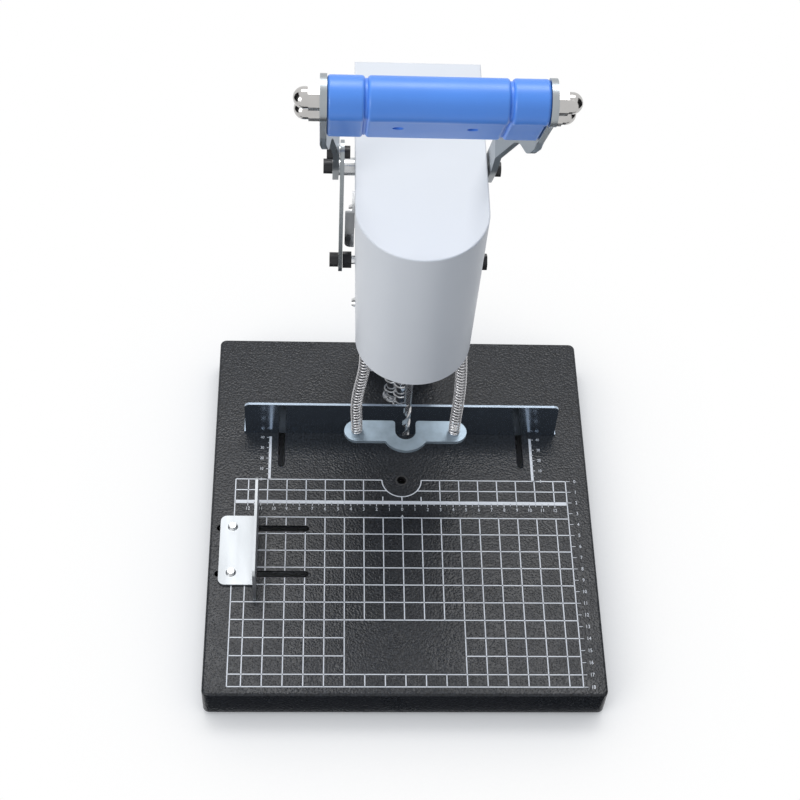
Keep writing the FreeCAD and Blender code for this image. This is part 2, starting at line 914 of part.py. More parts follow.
def make_grip():
    middle = dim.grip_middle
    node("grip_middle", lean_back(grip_piece("grip_middle_piece", -middle / 2, middle, True)))
    inner = middle / 2 + dim.grip_gap
    width = dim.arm_spread - inner
    left = grip_piece("grip_left_piece", -dim.arm_spread, width, False)
    right = grip_piece("grip_right_piece", inner, width, False)
    left = fuse("grip_left_whole", left, grip_core("grip_left_core", -inner))
    right = fuse("grip_right_whole", right, grip_core("grip_right_core", middle / 2))
    node("grip_end_left", lean_back(left))
    node("grip_end_right", lean_back(right))


def grip_core(name, x):
    """The recessed collar that fills the groove beside the middle of the grip."""
    top = dim.arm_length
    depth = dim.groove_depth
    half = dim.grip_half - depth
    collar = fuse(
        name + "_collar",
        rod(name + "_round", "X", x, 0, top, dim.grip_radius - depth, dim.grip_gap),
        block(name + "_flat", x, -half, top - dim.grip_tail + depth, dim.grip_gap, 2 * half,
              dim.grip_tail - depth),
    )
    bores = []
    for height in (top, top - dim.tie_spacing):
        bores.append(rod(
            name + "_bore", "X", x - 1, 0, height, dim.tie_radius + dim.fit, dim.grip_gap + 2
        ))
    return cut(name, collar, *bores)


def make_ties():
    top = dim.arm_length
    outer = dim.arm_spread + dim.arm_plate
    rods = []
    nuts = []
    bite = 8.5
    for height in (top, top - dim.tie_spacing):
        rods.append(rod("tie", "X", -outer - bite, 0, height, dim.tie_radius, 2 * (outer + bite)))
        for side in (-1, 1):
            start = outer if side > 0 else -outer - 6.5
            barrel = outer if side > 0 else -outer - 8.75
            tip = side * (outer + 8.75)
            solid = fuse(
                "acorn",
                hexagon("acorn_hex", "X", start, 0, height, 7.5, 6.5),
                rod("acorn_barrel", "X", barrel, 0, height, 6.25, 8.75),
                ball("acorn_dome", tip, 0, height, 6.25),
            )
            bore = rod("acorn_bore", "X", -outer - bite - 0.5, 0, height, dim.tie_radius + dim.fit,
                       2 * (outer + bite + 0.5))
            nuts.append(cut("acorn_cut", solid, bore))
    node("tie_rods", lean_back(group("ties", *rods)))
    node("acorn_nuts", lean_back(group("acorns", *nuts)))


def cap_bolt(name, side, seat, length, head):
    """A socket cap bolt along X: its head outside the seat, its shank inwards."""
    crown = rod(name + "_head", "Z", 0, 0, 0, dim.bolt_head, head)
    shank = rod(name + "_shank", "Z", 0, 0, -length, dim.bolt_radius, length)
    drive = hexagon(name + "_socket", "Z", 0, 0, head - 3, 2.9, 4)
    bolt = cut(name, fuse(name + "_body", crown, shank), drive)
    bolt.Placement = Placement(Vector(), Rotation(Vector(0, 1, 0), 90 * side))
    bind(bolt, "Placement.Base.x", seat * side)
    return bolt


def hex_nut(name, x, height, loose):
    """A nut along X, from its low face, with the bolt's bore."""
    bore = dim.bolt_radius + loose
    return cut(
        name,
        hexagon(name + "_hex", "X", x, 0, 0, 5.8, height),
        rod(name + "_bore", "X", sized(x) - 1, 0, 0, bore, sized(height) + 2),
    )


def make_pivots():
    y = behind(dim.pivot_behind)
    z = up(dim.pivot_up)
    bolts = []
    sleeves = []
    nuts = []
    half = dim.frame_half
    inside = half - dim.frame_plate
    for side, low in ((-1, dim.arm_left_low), (1, dim.arm_right_low)):
        seat = low + dim.arm_plate + dim.slide_gap
        bolt = cap_bolt("pivot_bolt", side, seat, seat - inside + dim.nut_height + 1, 6)
        bolts.append(place(bolt, seat * side, y, z))
        length = low - dim.slide_gap - half
        start = half if side > 0 else -half - length
        sleeves.append(cut(
            "sleeve",
            rod("sleeve_tube", "X", start, y, z, dim.bolt_head + 1, length),
            rod("sleeve_bore", "X", start - 1, y, z, dim.bolt_radius + dim.fit, length + 2),
        ))
        start = inside - dim.nut_height if side > 0 else -inside
        nut = hex_nut("pivot_nut", start, dim.nut_height, dim.fit)
        nuts.append(place(nut, 0, y, z))
    node("pivot_bolts", group("pivot_bolts_group", *bolts))
    node("pivot_sleeves", group("pivot_sleeves_group", *sleeves))
    node("pivot_nuts", group("pivot_nuts_group", *nuts))


def make_crank_pin():
    """The bolt that joins the left arm to the link's upper eye."""
    pin_y, pin_z = lever_point(dim.crank_radius)
    seat = dim.arm_left_low + dim.arm_plate
    nut_height = 3.6
    inner = dim.link_side - dim.slide_gap - nut_height
    bolt = cap_bolt("crank_bolt_body", -1, seat, seat - inner, 4)
    node("crank_bolt", place(bolt, -seat, behind(pin_y), up(pin_z)))
    nut = cut(
        "crank_nut_body",
        rod("crank_nut_disc", "X", -inner - nut_height, 0, 0, dim.bolt_radius + 1.2, nut_height),
        rod("crank_nut_bore", "X", -inner - nut_height - 1, 0, 0, dim.bolt_radius + dim.fit, nut_height + 2),
    )
    node("crank_nut", place(nut, 0, behind(pin_y), up(pin_z)))
    washer_length = dim.arm_left_low - dim.link_side - dim.link_plate - 2 * dim.slide_gap
    washer = cut(
        "crank_washer_cut",
        rod("crank_washer_disc", "X", -dim.arm_left_low + dim.slide_gap / 2, behind(pin_y), up(pin_z),
            dim.bolt_head, washer_length),
        rod("crank_washer_bore", "X", -dim.arm_left_low - 1, behind(pin_y), up(pin_z),
            dim.bolt_radius + dim.fit, washer_length + 3),
    )
    node("crank_washer", washer)


def link_angle():
    """The link's lean from upright at rest, towards the back, in degrees."""
    pin_y = lever_point(dim.crank_radius)[0]
    ratio = (pin_y - dim.axle_behind) / dim.link_length
    return Size(math.degrees(math.asin(ratio.number)), "asin(" + ratio.formula + ")")


def make_link():
    eye = dim.link_eye
    length = dim.link_length
    bar = pad(
        "link_bar", "YZ_Plane",
        [
            (eye, -eye, eye - 0.01), (eye, length + eye, eye - 0.01),
            (-eye, length + eye, eye - 0.01), (-eye, -eye, eye - 0.01),
        ],
        dim.link_plate, -dim.link_side - dim.link_plate,
    )
    lower = rod("link_lower", "X", -80, 0, 0, dim.bolt_radius + dim.fit / 2, 80)
    upper = rod("link_upper", "X", -80, 0, length, dim.bolt_radius + dim.fit, 80)
    link = cut("link_cut", bar, lower, upper)
    link.Placement = Placement(Vector(), Rotation(Vector(-1, 0, 0), link_angle().number))
    link.setExpression("Placement.Rotation.Angle", link_angle().formula)
    node("link", place(link, 0, behind(dim.axle_behind), up(axle_up())))
    seat = dim.link_side + dim.link_plate + dim.slide_gap
    bolt = cap_bolt("link_bolt_body", -1, seat, seat - dim.link_side, 6)
    node("link_bolt", place(bolt, -seat, behind(dim.axle_behind), up(axle_up())))


# Carriage with its motor

def make_carriage():
    half = dim.carriage_half
    low = dim.carriage_up
    thick = dim.carriage_plate
    ear = dim.carriage_spring_side + 4
    ear_reach = 6.5
    plate = pad(
        "carriage_plate", "XY_Plane",
        [
            (-half, behind(dim.carriage_rear), 6.0), (-half, behind(ear_reach + 4)),
            (-ear, behind(ear_reach), 2.0), (-ear, behind(-ear_reach), 2.0),
            (-26.0, behind(-24.0), 14.0), (-12.0, behind(-34.0), 10.0),
            (12.0, behind(-34.0), 10.0), (26.0, behind(-24.0), 14.0),
            (ear, behind(-ear_reach), 2.0), (ear, behind(ear_reach), 2.0),
            (half, behind(ear_reach + 4)), (half, behind(dim.carriage_rear), 6.0),
        ],
        thick, up(low),
    )
    block_low = up(low)
    tall = axle_up() + 9 - low
    axle_block = block(
        "axle_block", -half, behind(dim.axle_behind) - dim.axle_block / 2, block_low,
        2 * half, dim.axle_block, tall,
    )
    parts = [plate, axle_block]
    tools = []
    for x, y in post_spots():
        parts.append(rod(
            "sleeve_long", "Z", x, y, up(dim.sleeve_up), dim.sleeve_radius, dim.sleeve_top - dim.sleeve_up
        ))
        tools.append(rod(
            "sleeve_way", "Z", x, y, up(dim.sleeve_up) - 1, dim.post_radius + dim.fit,
            dim.sleeve_top - dim.sleeve_up + 2,
        ))
    tools.append(rod("bearing_seat", "Z", 0, behind(0), up(low) - 1, 9.0 + dim.fit, thick + 2))
    tools.append(rod(
        "axle_way", "X", -half - 1, behind(dim.axle_behind), up(axle_up()),
        dim.axle_radius + dim.fit, 2 * half + 2,
    ))
    for side in (-1, 1):
        tools.append(rod(
            "ear_hole", "Z", side * dim.carriage_spring_side, behind(0), up(low) - 1,
            dim.stud_radius - 0.9 + dim.fit, thick + 2,
        ))
    node("carriage", cut("carriage_cut", fuse("carriage_solid", *parts), *tools))


def make_cross_axle():
    y = behind(dim.axle_behind)
    z = up(axle_up())
    left = dim.link_side - dim.air_gap
    right = 49.4
    shaft = rod("cross_axle_rod", "X", -left, y, z, dim.axle_radius, left + right)
    node("cross_axle", shaft)
    nuts = []
    for start, height in ((-left, left - 44.2), (sized(44.2), right - 44.2)):
        nuts.append(place(hex_nut("axle_nut", start, height, dim.fit), 0, y, z))
    node("axle_nuts", group("axle_nuts_group", *nuts))


def make_motor():
    low = up(dim.carriage_up + dim.carriage_plate)
    radius = dim.motor_radius
    height = dim.motor_height
    shell = revolve("motor_shell", [
        (0, 0), (radius, 0), (radius, height, 2.5), (8.0, height), (8.0, height + 3), (0, height + 3),
    ])
    place(shell, 0, behind(0), low)
    bore = rod("motor_bore", "Z", 0, behind(0), low - 1, dim.spindle_radius + dim.fit, 31)
    node("motor_can", cut("motor_cut", shell, bore))
    ring = cut(
        "motor_ring_cut",
        rod("motor_ring", "Z", 0, behind(0), low + height, 19.0, 6),
        rod("motor_ring_bore", "Z", 0, behind(0), low + height - 1, 8.0 + dim.fit, 8),
    )
    node("motor_end_cap", ring)
    seat = up(dim.carriage_up)
    bearing = cut(
        "bearing_cut",
        rod("bearing_disc", "Z", 0, behind(0), seat, 9.0, dim.carriage_plate),
        rod("bearing_bore", "Z", 0, behind(0), seat - 1, dim.spindle_radius + dim.fit, 10),
    )
    node("spindle_bearing", bearing)


def make_chuck():
    nose = dim.chuck_nose
    top = dim.chuck_top
    body = revolve("chuck_turned", [
        (0, up(nose)), (dim.chuck_nose_radius, up(nose)), (dim.chuck_nose_radius, up(nose + 6)),
        (dim.chuck_radius, up(nose + 20)), (dim.chuck_radius, up(top - 3)),
        (dim.chuck_radius - 2, up(top)), (dim.spindle_radius, up(top)),
        (dim.spindle_radius, up(dim.carriage_up + dim.carriage_plate + 28)),
        (0, up(dim.carriage_up + dim.carriage_plate + 28)),
    ])
    place(body, 0, behind(0), 0)
    bore = rod("chuck_bore", "Z", 0, behind(0), up(nose) - 1, dim.drill_radius + dim.fit / 2,
               dim.drill_shank_in + 2)
    key_holes = []
    for turn in range(3):
        hole = rod("chuck_key", "X", 0, 0, 0, 1.6, 20)
        hole.Placement = Placement(
            Vector(0, behind(0).number, up(nose + 26).number), Rotation(Vector(0, 0, 1), 120 * turn)
        ).multiply(Placement(Vector(), TURN["X"]))
        bind(hole, "Placement.Base.x", 8 * math.cos(math.radians(120 * turn)))
        bind(hole, "Placement.Base.y", behind(8 * math.sin(math.radians(120 * turn))))
        bind(hole, "Placement.Base.z", up(nose + 26))
        key_holes.append(hole)
    node("chuck", cut("chuck_cut", body, bore, *key_holes))


def flute_section(radius, turn, height):
    """One slice of the fluted drill: two lands joined by two hollow flutes."""
    land = math.radians(34)
    web = radius * 0.24
    edges = []
    for half_turn in (0.0, math.pi):
        a = turn + half_turn - land
        b = turn + half_turn
        c = turn + half_turn + land

        def at(angle, size):
            return Vector(size * math.cos(angle), size * math.sin(angle), height)

        edges.append(Part.Arc(at(a, radius), at(b, radius), at(c, radius)).toShape())
        middle = turn + half_turn + math.pi / 2
        edges.append(Part.Arc(at(c, radius), at(middle, web), at(a + math.pi, radius)).toShape())
    return Part.Wire(edges)


def make_drill():
    """A twist drill: fluted below, plain above, ground to a point."""
    radius = dim.drill_radius.number
    tip = up(dim.drill_tip).number
    flute_top = up(dim.drill_flute_top).number
    shank_top = up(dim.chuck_nose + dim.drill_shank_in).number
    lead = dim.drill_lead.number
    step = lead / 8
    count = max(2, int(round((flute_top - tip) / step)))
    wires = []
    for i in range(count + 1):
        height = tip + (flute_top - tip) * i / count
        wires.append(flute_section(radius, 2 * math.pi * (height - tip) / lead, height))
    fluted = Part.makeLoft(wires, True, False)
    point = Part.makeCone(0, 2 * radius, 2 * radius * math.tan(math.radians(31)), Vector(0, 0, tip))
    above = Part.makeCylinder(2 * radius, flute_top, Vector(0, 0, point.BoundBox.ZMax))
    fluted = fluted.common(point.fuse(above))
    shank = Part.makeCylinder(radius, shank_top - flute_top, Vector(0, 0, flute_top))
    drill = add("Part::Feature", "drill_bit_shape")
    drill.Shape = fluted.fuse(shank)
    drill.Placement = Placement(Vector(), Rotation())
    place(drill, 0, behind(0), 0)
    node("drill_bit", drill)


# Presser foot and the springs

def make_presser():
    half = dim.presser_half
    reach = dim.presser_reach
    lobe = dim.presser_lobe
    low = up(dim.presser_up)
    thick = dim.presser_plate
    bar = pad(
        "presser_bar", "XY_Plane",
        [
            (-half, behind(-reach), reach - 0.01), (half, behind(-reach), reach - 0.01),
            (half, behind(reach), reach - 0.01), (-half, behind(reach), reach - 0.01),
        ],
        thick, low,
    )
    disc = rod("presser_disc", "Z", 0, behind(0), low, lobe, thick)
    trim = block("presser_trim", -2 * lobe, behind(reach), low - 1, 4 * lobe, 2 * lobe, thick + 2)
    notch = rod("presser_notch_round", "Z", 0, behind(0), low - 1, dim.presser_notch, thick + 2)
    mouth = 2.5
    gap = dim.presser_notch
    way = pad(
        "presser_mouth", "XY_Plane",
        [
            (-gap, behind(0)), (gap, behind(0)), (gap, behind(reach), mouth),
            (gap + 3 * mouth, behind(reach)), (gap + 3 * mouth, behind(reach + 6)),
            (-gap - 3 * mouth, behind(reach + 6)), (-gap - 3 * mouth, behind(reach)),
            (-gap, behind(reach), mouth),
        ],
        thick + 2, low - 1,
    )
    solid = cut("presser_lobe_cut", disc, trim)
    tools = [notch, way]
    studs = []
    for side in (-1, 1):
        x = side * dim.presser_spring_side
        shank = dim.stud_radius - 0.9
        tools.append(rod("presser_stud_hole", "Z", x, behind(0), low - 1, shank + dim.fit, thick + 2))
        studs.append(fuse(
            "stud",
            rod("stud_head", "Z", x, behind(0), low + thick, dim.stud_radius, dim.stud_length),
            rod("stud_shank", "Z", x, behind(0), low, shank, thick),
        ))
    node("presser_plate", cut("presser_cut", fuse("presser", bar, solid), *tools))
    node("presser_studs", group("presser_studs_group", *studs))
    upper = []
    carriage_low = up(dim.carriage_up)
    for side in (-1, 1):
        x = side * dim.carriage_spring_side
        shank = dim.stud_radius - 0.9
        upper.append(fuse(
            "upper_stud",
            rod("upper_stud_head", "Z", x, behind(0), carriage_low - dim.stud_length, dim.stud_radius,
                dim.stud_length),
            rod("upper_stud_shank", "Z", x, behind(0), carriage_low, shank, dim.carriage_plate),
        ))
    node("carriage_studs", group("carriage_studs_group", *upper))


def arc_between(start, heading, end):
    """The arc that leaves start along heading and ends at end, and its heading there."""
    chord = end - start
    side = heading.cross(chord).cross(heading)
    if side.Length < 1e-9:
        return Part.LineSegment(start, end).toShape(), Vector(heading)
    side.normalize()
    radius = chord.dot(chord) / (2 * chord.dot(side))
    centre = start + side * radius
    middle = (start - centre) + (end - centre)
    middle.normalize()
    way = Vector(chord).normalize()
    leaving = way * (2 * way.dot(heading)) - heading
    return Part.Arc(start, centre + middle * radius, end).toShape(), leaving


def biarc(start, heading, end, leaving):
    """Two tangent arcs from one point and heading to another."""
    chord = end - start
    total = heading + leaving
    a = 2 * (1 - heading.dot(leaving))
    b = chord.dot(total)
    square = chord.dot(chord)
    if a < 1e-9:
        reach = square / (4 * chord.dot(leaving))
    else:
        reach = (math.sqrt(b * b + a * square) - b) / a
    joint = (start + end + (heading - leaving) * reach) * 0.5
    first, along = arc_between(start, heading, joint)
    last, along = arc_between(joint, along, end)
    return [first, last]


def spring_wire(axis_at, low, high, coil, wire, turns, hand):
    """A spring's wire as one tube, its ends turned square to what they meet.

    axis_at gives the coil's centre at a share of its height, low and high are the
    heights of the two seats, and each half turn is a biarc.
    """
    tail = 2 * wire
    lift = 4 * wire
    steps = int(round(2 * turns))

    def spot(share):
        angle = hand * 2 * math.pi * turns * share
        centre = axis_at(share)
        height = low + lift + (high - low - 2 * lift) * share
        return Vector(centre.x + coil * math.cos(angle), centre.y + coil * math.sin(angle), height)

    def heading(share):
        small = 1e-4
        return (spot(share + small) - spot(share - small)).normalize()

    first = spot(0.0)
    last = spot(1.0)
    back = heading(0.0) * (lift - tail)
    on = heading(1.0) * (lift - tail)
    foot = Vector(first.x - back.x, first.y - back.y, low)
    head = Vector(last.x + on.x, last.y + on.y, high)
    upward = Vector(0, 0, 1)
    foot_top = foot + upward * tail
    head_low = head - upward * tail
    edges = [Part.LineSegment(foot, foot_top).toShape()]
    edges += biarc(foot_top, upward, first, heading(0.0))
    for i in range(steps):
        a = i / steps
        b = (i + 1) / steps
        edges += biarc(spot(a), heading(a), spot(b), heading(b))
    edges += biarc(last, heading(1.0), head_low, upward)
    edges.append(Part.LineSegment(head_low, head).toShape())
    path = Part.Wire(edges)
    corners = []
    for i in range(6):
        angle = 2 * math.pi * i / 6
        corners.append(foot + Vector(wire * math.cos(angle), wire * math.sin(angle), 0))
    section = Part.makePolygon(corners + corners[:1])
    tube = path.makePipeShell([section], True, False)
    return tube, least_gap(path, coil, wire)


def least_gap(path, coil, wire):
    """The least gap between turns, measured on points along the wire."""
    step = coil / 2
    points = path.discretize(Distance=step)
    skip = int(math.pi * coil / step)
    least = 1e9
    for i, point in enumerate(points):
        for other in points[i + skip:i + 4 * skip]:
            least = min(least, (other - point).Length)
    return least - 2 * wire


def make_springs():
    wire = dim.presser_wire.number
    low = up(dim.presser_up + dim.presser_plate).number
    high = up(dim.carriage_up).number
    pair = []
    for side in (-1, 1):
        bottom = side * dim.presser_spring_side.number
        top = side * dim.carriage_spring_side.number
        bow = dim.presser_bow.number
        y = behind(0).number

        def axis_at(share):
            sway = math.sin(2 * math.pi * share) if side < 0 else -math.sin(math.pi * share)
            ease = math.sin(math.pi * share) ** 0.5 if 0 < share < 1 else 0.0
            return Vector(bottom + (top - bottom) * share - bow * sway * ease, y, 0)

        tube, gap = spring_wire(
            axis_at, low, high, dim.presser_coil.number, wire, dim.presser_turns.number, -side
        )
        print("presser spring: least gap between turns", round(gap, 2), "mm")
        pair.append(tube)
    node("presser_springs", spring_pair("presser_spring_pair", pair))
    pair = []
    low = table.number + 2
    high = up(dim.sleeve_up).number
    for x, y in post_spots():
        centre = Vector(x.number, y.number, 0)
        tube, gap = spring_wire(
            lambda share: centre, low, high, dim.return_coil.number, dim.return_wire.number,
            dim.return_turns.number, 1,
        )
        print("return spring: least gap between turns", round(gap, 2), "mm")
        pair.append(tube)
    node("return_springs", spring_pair("return_spring_pair", pair))


def spring_pair(name, tubes):
    thing = add("Part::Feature", name)
    thing.Shape = Part.makeCompound(tubes)
    thing.Placement = Placement(Vector(), Rotation())
    return thing


# Fence and side stop

def table_screw(name, x, y, seat):
    """A pan-head screw down through a clamped foot and the table's slot."""
    crown = cone(name + "_crown", x, y, seat, dim.screw_head, dim.screw_head - 1.4, 2.6)
    length = seat - table + dim.tray_sheet + 6
    shank = rod(name + "_shank", "Z", x, y, seat - length, dim.screw_radius, length)
    across = block(name + "_across", x - 2.3, y - 0.45, seat + 1.4, 4.6, 0.9, 3)
    along = block(name + "_along", x - 0.45, y - 2.3, seat + 1.4, 0.9, 4.6, 3)
    return cut(name, fuse(name + "_body", crown, shank), fuse(name + "_drive", across, along))


def table_nut(name, x, y):
    """The square nut that the screw pulls up under the table."""
    low = table - dim.tray_sheet - dim.slide_gap - 4
    size = 9.0
    return cut(
        name,
        block(name + "_block", x - size / 2, y - size / 2, low, size, size, 4),
        rod(name + "_bore", "Z", x, y, low - 1, dim.screw_radius + dim.fit, 6),
    )


def make_fence():
    half = dim.fence_length / 2
    foot = table + dim.slide_gap
    thick = dim.fence_sheet
    wall = pad(
        "fence_wall", "XZ_Plane",
        [
            (-half, foot), (half, foot),
            (half, up(dim.fence_height), 4.0), (-half, up(dim.fence_height), 4.0),
        ],
        thick, -behind(dim.fence_behind + thick),
    )
    parts = [wall]
    tools = []
    screws = []
    nuts = []
    tab_y = behind(dim.fence_behind)
    screw_y = behind(dim.fence_behind + dim.fence_tab_depth / 2 + 2)
    for side in (-1, 1):
        x = side * dim.fence_slot_side
        parts.append(block(
            "fence_tab", x - dim.fence_tab_width / 2, tab_y, foot,
            dim.fence_tab_width, dim.fence_tab_depth, thick,
        ))
        tools.append(rod("fence_hole", "Z", x, screw_y, foot - 1, dim.screw_radius + dim.fit, thick + 2))
        screws.append(table_screw("fence_screw", x, screw_y, foot + thick))
        nuts.append(table_nut("fence_nut", x, screw_y))
    node("fence", cut("fence_cut", fuse("fence_solid", *parts), *tools))
    node("fence_screws", group("fence_screws_group", *screws))
    node("fence_nuts", group("fence_nuts_group", *nuts))


def make_side_stop():
    thick = dim.fence_sheet
    foot = table + dim.slide_gap
    inner = dim.stop_wall_margin - dim.base_width / 2
    outer = inner - dim.stop_foot_width
    wall_near = behind(-dim.stop_wall_front)
    wall_far = wall_near + dim.stop_wall_length
    wall = pad(
        "stop_wall", "YZ_Plane",
        [
            (wall_near, foot), (wall_far, foot),
            (wall_far, up(dim.fence_height), 4.0), (wall_near, up(dim.fence_height), 4.0),
        ],
        thick, inner - thick,
    )
    near = behind(-dim.stop_foot_front)
    far = near + dim.stop_foot_depth
    flat = pad(
        "stop_foot", "XY_Plane",
        [(outer, near, 5.0), (inner, near), (inner, far), (outer, far, 5.0)],
        thick, foot,
    )
    tools = []
    screws = []
    nuts = []
    x = (outer + inner) / 2 - 5
    for front in (dim.stop_slot_near, dim.stop_slot_far):
        y = behind(-front)
        tools.append(rod("stop_hole", "Z", x, y, foot - 1, dim.screw_radius + dim.fit, thick + 2))
        screws.append(table_screw("stop_screw", x, y, foot + thick))
        nuts.append(table_nut("stop_nut", x, y))
    node("side_stop", cut("stop_cut", fuse("stop_solid", wall, flat), *tools))
    node("side_stop_screws", group("stop_screws_group", *screws))
    node("side_stop_nuts", group("stop_nuts_group", *nuts))


# Power switch, inlet and supply

def rear_middle():
    return dim.foot_height + dim.tray_height / 2


def rear_openings():
    """The cut-outs in the tray's rear wall for the switch and the inlet."""
    wall = dim.base_depth / 2 - dim.tray_sheet - 1
    tools = []
    for side, width, height in (
        (dim.switch_side, dim.switch_width - 2, dim.switch_height - 2),
        (dim.inlet_side, sized(24.0), sized(13.0)),
    ):
        tools.append(block(
            "rear_opening", side - width / 2, wall, rear_middle() - height / 2,
            width, dim.tray_sheet + 3, height,
        ))
    return tools


def make_switch():
    face = dim.base_depth / 2
    middle = rear_middle()
    width = dim.switch_width
    height = dim.switch_height
    bezel = block(
        "switch_bezel", dim.switch_side - width / 2, face, middle - height / 2, width, dim.bezel, height
    )
    deep = 13.0
    body = block(
        "switch_body", dim.switch_side - width / 2 + 1.1, face - deep, middle - height / 2 + 1.1,
        width - 2.2, deep, height - 2.2,
    )
    hollow = 9.0
    window = block(
        "switch_window", dim.switch_side - width / 2 + 2, face - hollow + dim.bezel,
        middle - height / 2 + 2, width - 4, hollow, height - 4,
    )
    pin = rod("switch_pin", "Z", dim.switch_side, face - 2.5, middle - height / 2 + 1.5, 1.2, height - 3)
    housing = fuse("switch_whole", cut("switch_hollow", fuse("switch_solid", bezel, body), window), pin)
    node("switch_housing", housing)
    reach = width / 2 - 2.6
    rocker = pad(
        "rocker_profile", "XY_Plane",
        [
            (-reach, -1.5), (0, -4.2, 3.0), (reach, -1.5), (reach, 2.6), (0, 1.4, 20.0), (-reach, 2.6),
        ],
        height - 5, -(height - 5) / 2,
    )
    bore = rod("rocker_bore", "Z", 0, -1.0, -height, 1.2 + dim.fit, 2 * height)
    tilted = cut("rocker_cut", rocker, bore)
    lean = 8.0
    turn = Rotation(Vector(0, 0, 1), -lean)
    shift = turn.multVec(Vector(0, -1.0, 0))
    tilted.Placement = Placement(Vector(), turn)
    place(tilted, dim.switch_side - shift.x, face - 2.5 - shift.y, middle)
    node("switch_rocker", tilted)


def make_inlet():
    face = dim.base_depth / 2
    middle = rear_middle()
    width = 26.0
    height = 15.0
    bezel = block(
        "inlet_bezel", dim.inlet_side - width / 2, face, middle - height / 2, width, dim.bezel, height
    )
    body = block(
        "inlet_body", dim.inlet_side - width / 2 + 1.1, face - 16, middle - height / 2 + 1.1,
        width - 2.2, 16, height - 2.2,
    )
    recess = stadium_along_y("inlet_recess", dim.inlet_side, face - 11, middle, 4.4, 8.6, 14)
    pins = []
    for side in (-1, 1):
        pins.append(rod("inlet_pin", "Y", dim.inlet_side + side * 4.3, face - 12, middle, 1.2, 10))
    shell = cut("inlet_shell", fuse("inlet_solid", bezel, body), recess)
    node("power_inlet", fuse("inlet", shell, *pins))


def stadium_along_y(name, x, y, z, radius, length, depth):
    """A figure-eight socket's recess, cut along Y."""
    half = length / 2
    return fuse(
        name,
        rod(name + "_a", "Y", x - half, y, z, radius, depth),
        rod(name + "_b", "Y", x + half, y, z, radius, depth),
        block(name + "_m", x - half, y, z - radius + 0.8, length, depth, 2 * radius - 1.6),
    )


def make_supply():
    """The closed power supply unit that hangs under the table, behind the fence's slots."""
    under = table - dim.tray_sheet
    left = dim.supply_margin - dim.base_width / 2
    right = left + dim.supply_width
    rear = dim.base_depth / 2 - dim.supply_behind_room
    front = rear - dim.supply_depth
    case = pad(
        "supply_case", "XY_Plane",
        [(left, front, 3.0), (right, front, 3.0), (right, rear, 3.0), (left, rear, 3.0)],
        dim.supply_height, under - dim.supply_height,
    )
    node("power_supply", case)


def check_all():
    """Stop unless every feature and every finished shape is sound."""
    doc.recompute()
    for thing in doc.Objects:
        if "Invalid" in thing.State or "Error" in thing.State:
            raise RuntimeError("failed feature: " + thing.Name + " " + str(thing.State))
    for thing in NODES:
        shape = thing.Shape
        if shape.isNull() or not shape.isValid() or not shape.Solids:
            raise RuntimeError("bad shape: " + thing.Label)


def main():
    make_tray()
    make_feet()
    make_chip_bush()
    make_column()
    make_head_frame()
    make_posts()
    make_cover()
    make_cover_screws()
    make_stop_bracket()
    make_arm(-1, dim.arm_left_low, "arm_left")
    make_arm(1, dim.arm_right_low, "arm_right")
    make_grip()
    make_ties()
    make_pivots()
    make_crank_pin()
    make_link()
    make_carriage()
    make_cross_axle()
    make_motor()
    make_chuck()
    make_drill()
    make_presser()
    make_springs()
    make_fence()
    make_side_stop()
    make_switch()
    make_inlet()
    make_supply()
    check_all()
    print("stroke of the carriage", round(stroke().number, 3), "mm")
    print("cross axle above the table", round(axle_up().number, 3), "mm")
    print("link's lean", round(link_angle().number, 4), "degrees")
    os.makedirs("parts", exist_ok=True)
    for thing in NODES:
        thing.Shape.exportStep(os.path.join("parts", thing.Label + ".step"))
    print(len(NODES), "nodes written")


main()
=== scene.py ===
import math

import bpy
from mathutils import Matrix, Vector


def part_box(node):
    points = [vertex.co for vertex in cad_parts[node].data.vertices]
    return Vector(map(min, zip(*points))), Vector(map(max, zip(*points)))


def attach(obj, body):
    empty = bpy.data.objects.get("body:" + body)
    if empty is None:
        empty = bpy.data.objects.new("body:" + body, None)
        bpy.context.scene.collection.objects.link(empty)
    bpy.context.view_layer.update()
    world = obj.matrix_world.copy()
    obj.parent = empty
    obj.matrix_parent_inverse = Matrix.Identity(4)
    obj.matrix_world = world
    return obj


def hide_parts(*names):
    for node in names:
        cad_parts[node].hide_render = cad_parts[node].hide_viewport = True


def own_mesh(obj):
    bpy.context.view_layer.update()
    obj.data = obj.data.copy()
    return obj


bl_info = {
    "name": "Paper drill",
    "version": (1, 0, 0),
    "blender": (4, 5, 0),
    "location": "View3D > Sidebar > Paper drill",
    "description": "Dresses the frame of a desktop paper drill: print, springs, finishes and a studio",
    "category": "Object",
}

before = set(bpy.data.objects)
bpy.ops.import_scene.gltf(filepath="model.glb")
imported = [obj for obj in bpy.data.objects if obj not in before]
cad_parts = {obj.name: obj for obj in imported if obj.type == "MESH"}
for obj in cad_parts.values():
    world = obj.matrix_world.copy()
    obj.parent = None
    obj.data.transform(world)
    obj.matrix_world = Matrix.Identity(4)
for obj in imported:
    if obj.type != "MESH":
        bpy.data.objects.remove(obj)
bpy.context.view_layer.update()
TABLE_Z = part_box("base_tray")[1][2]
DRILL_Y = 0.024


# Settings that a user would change

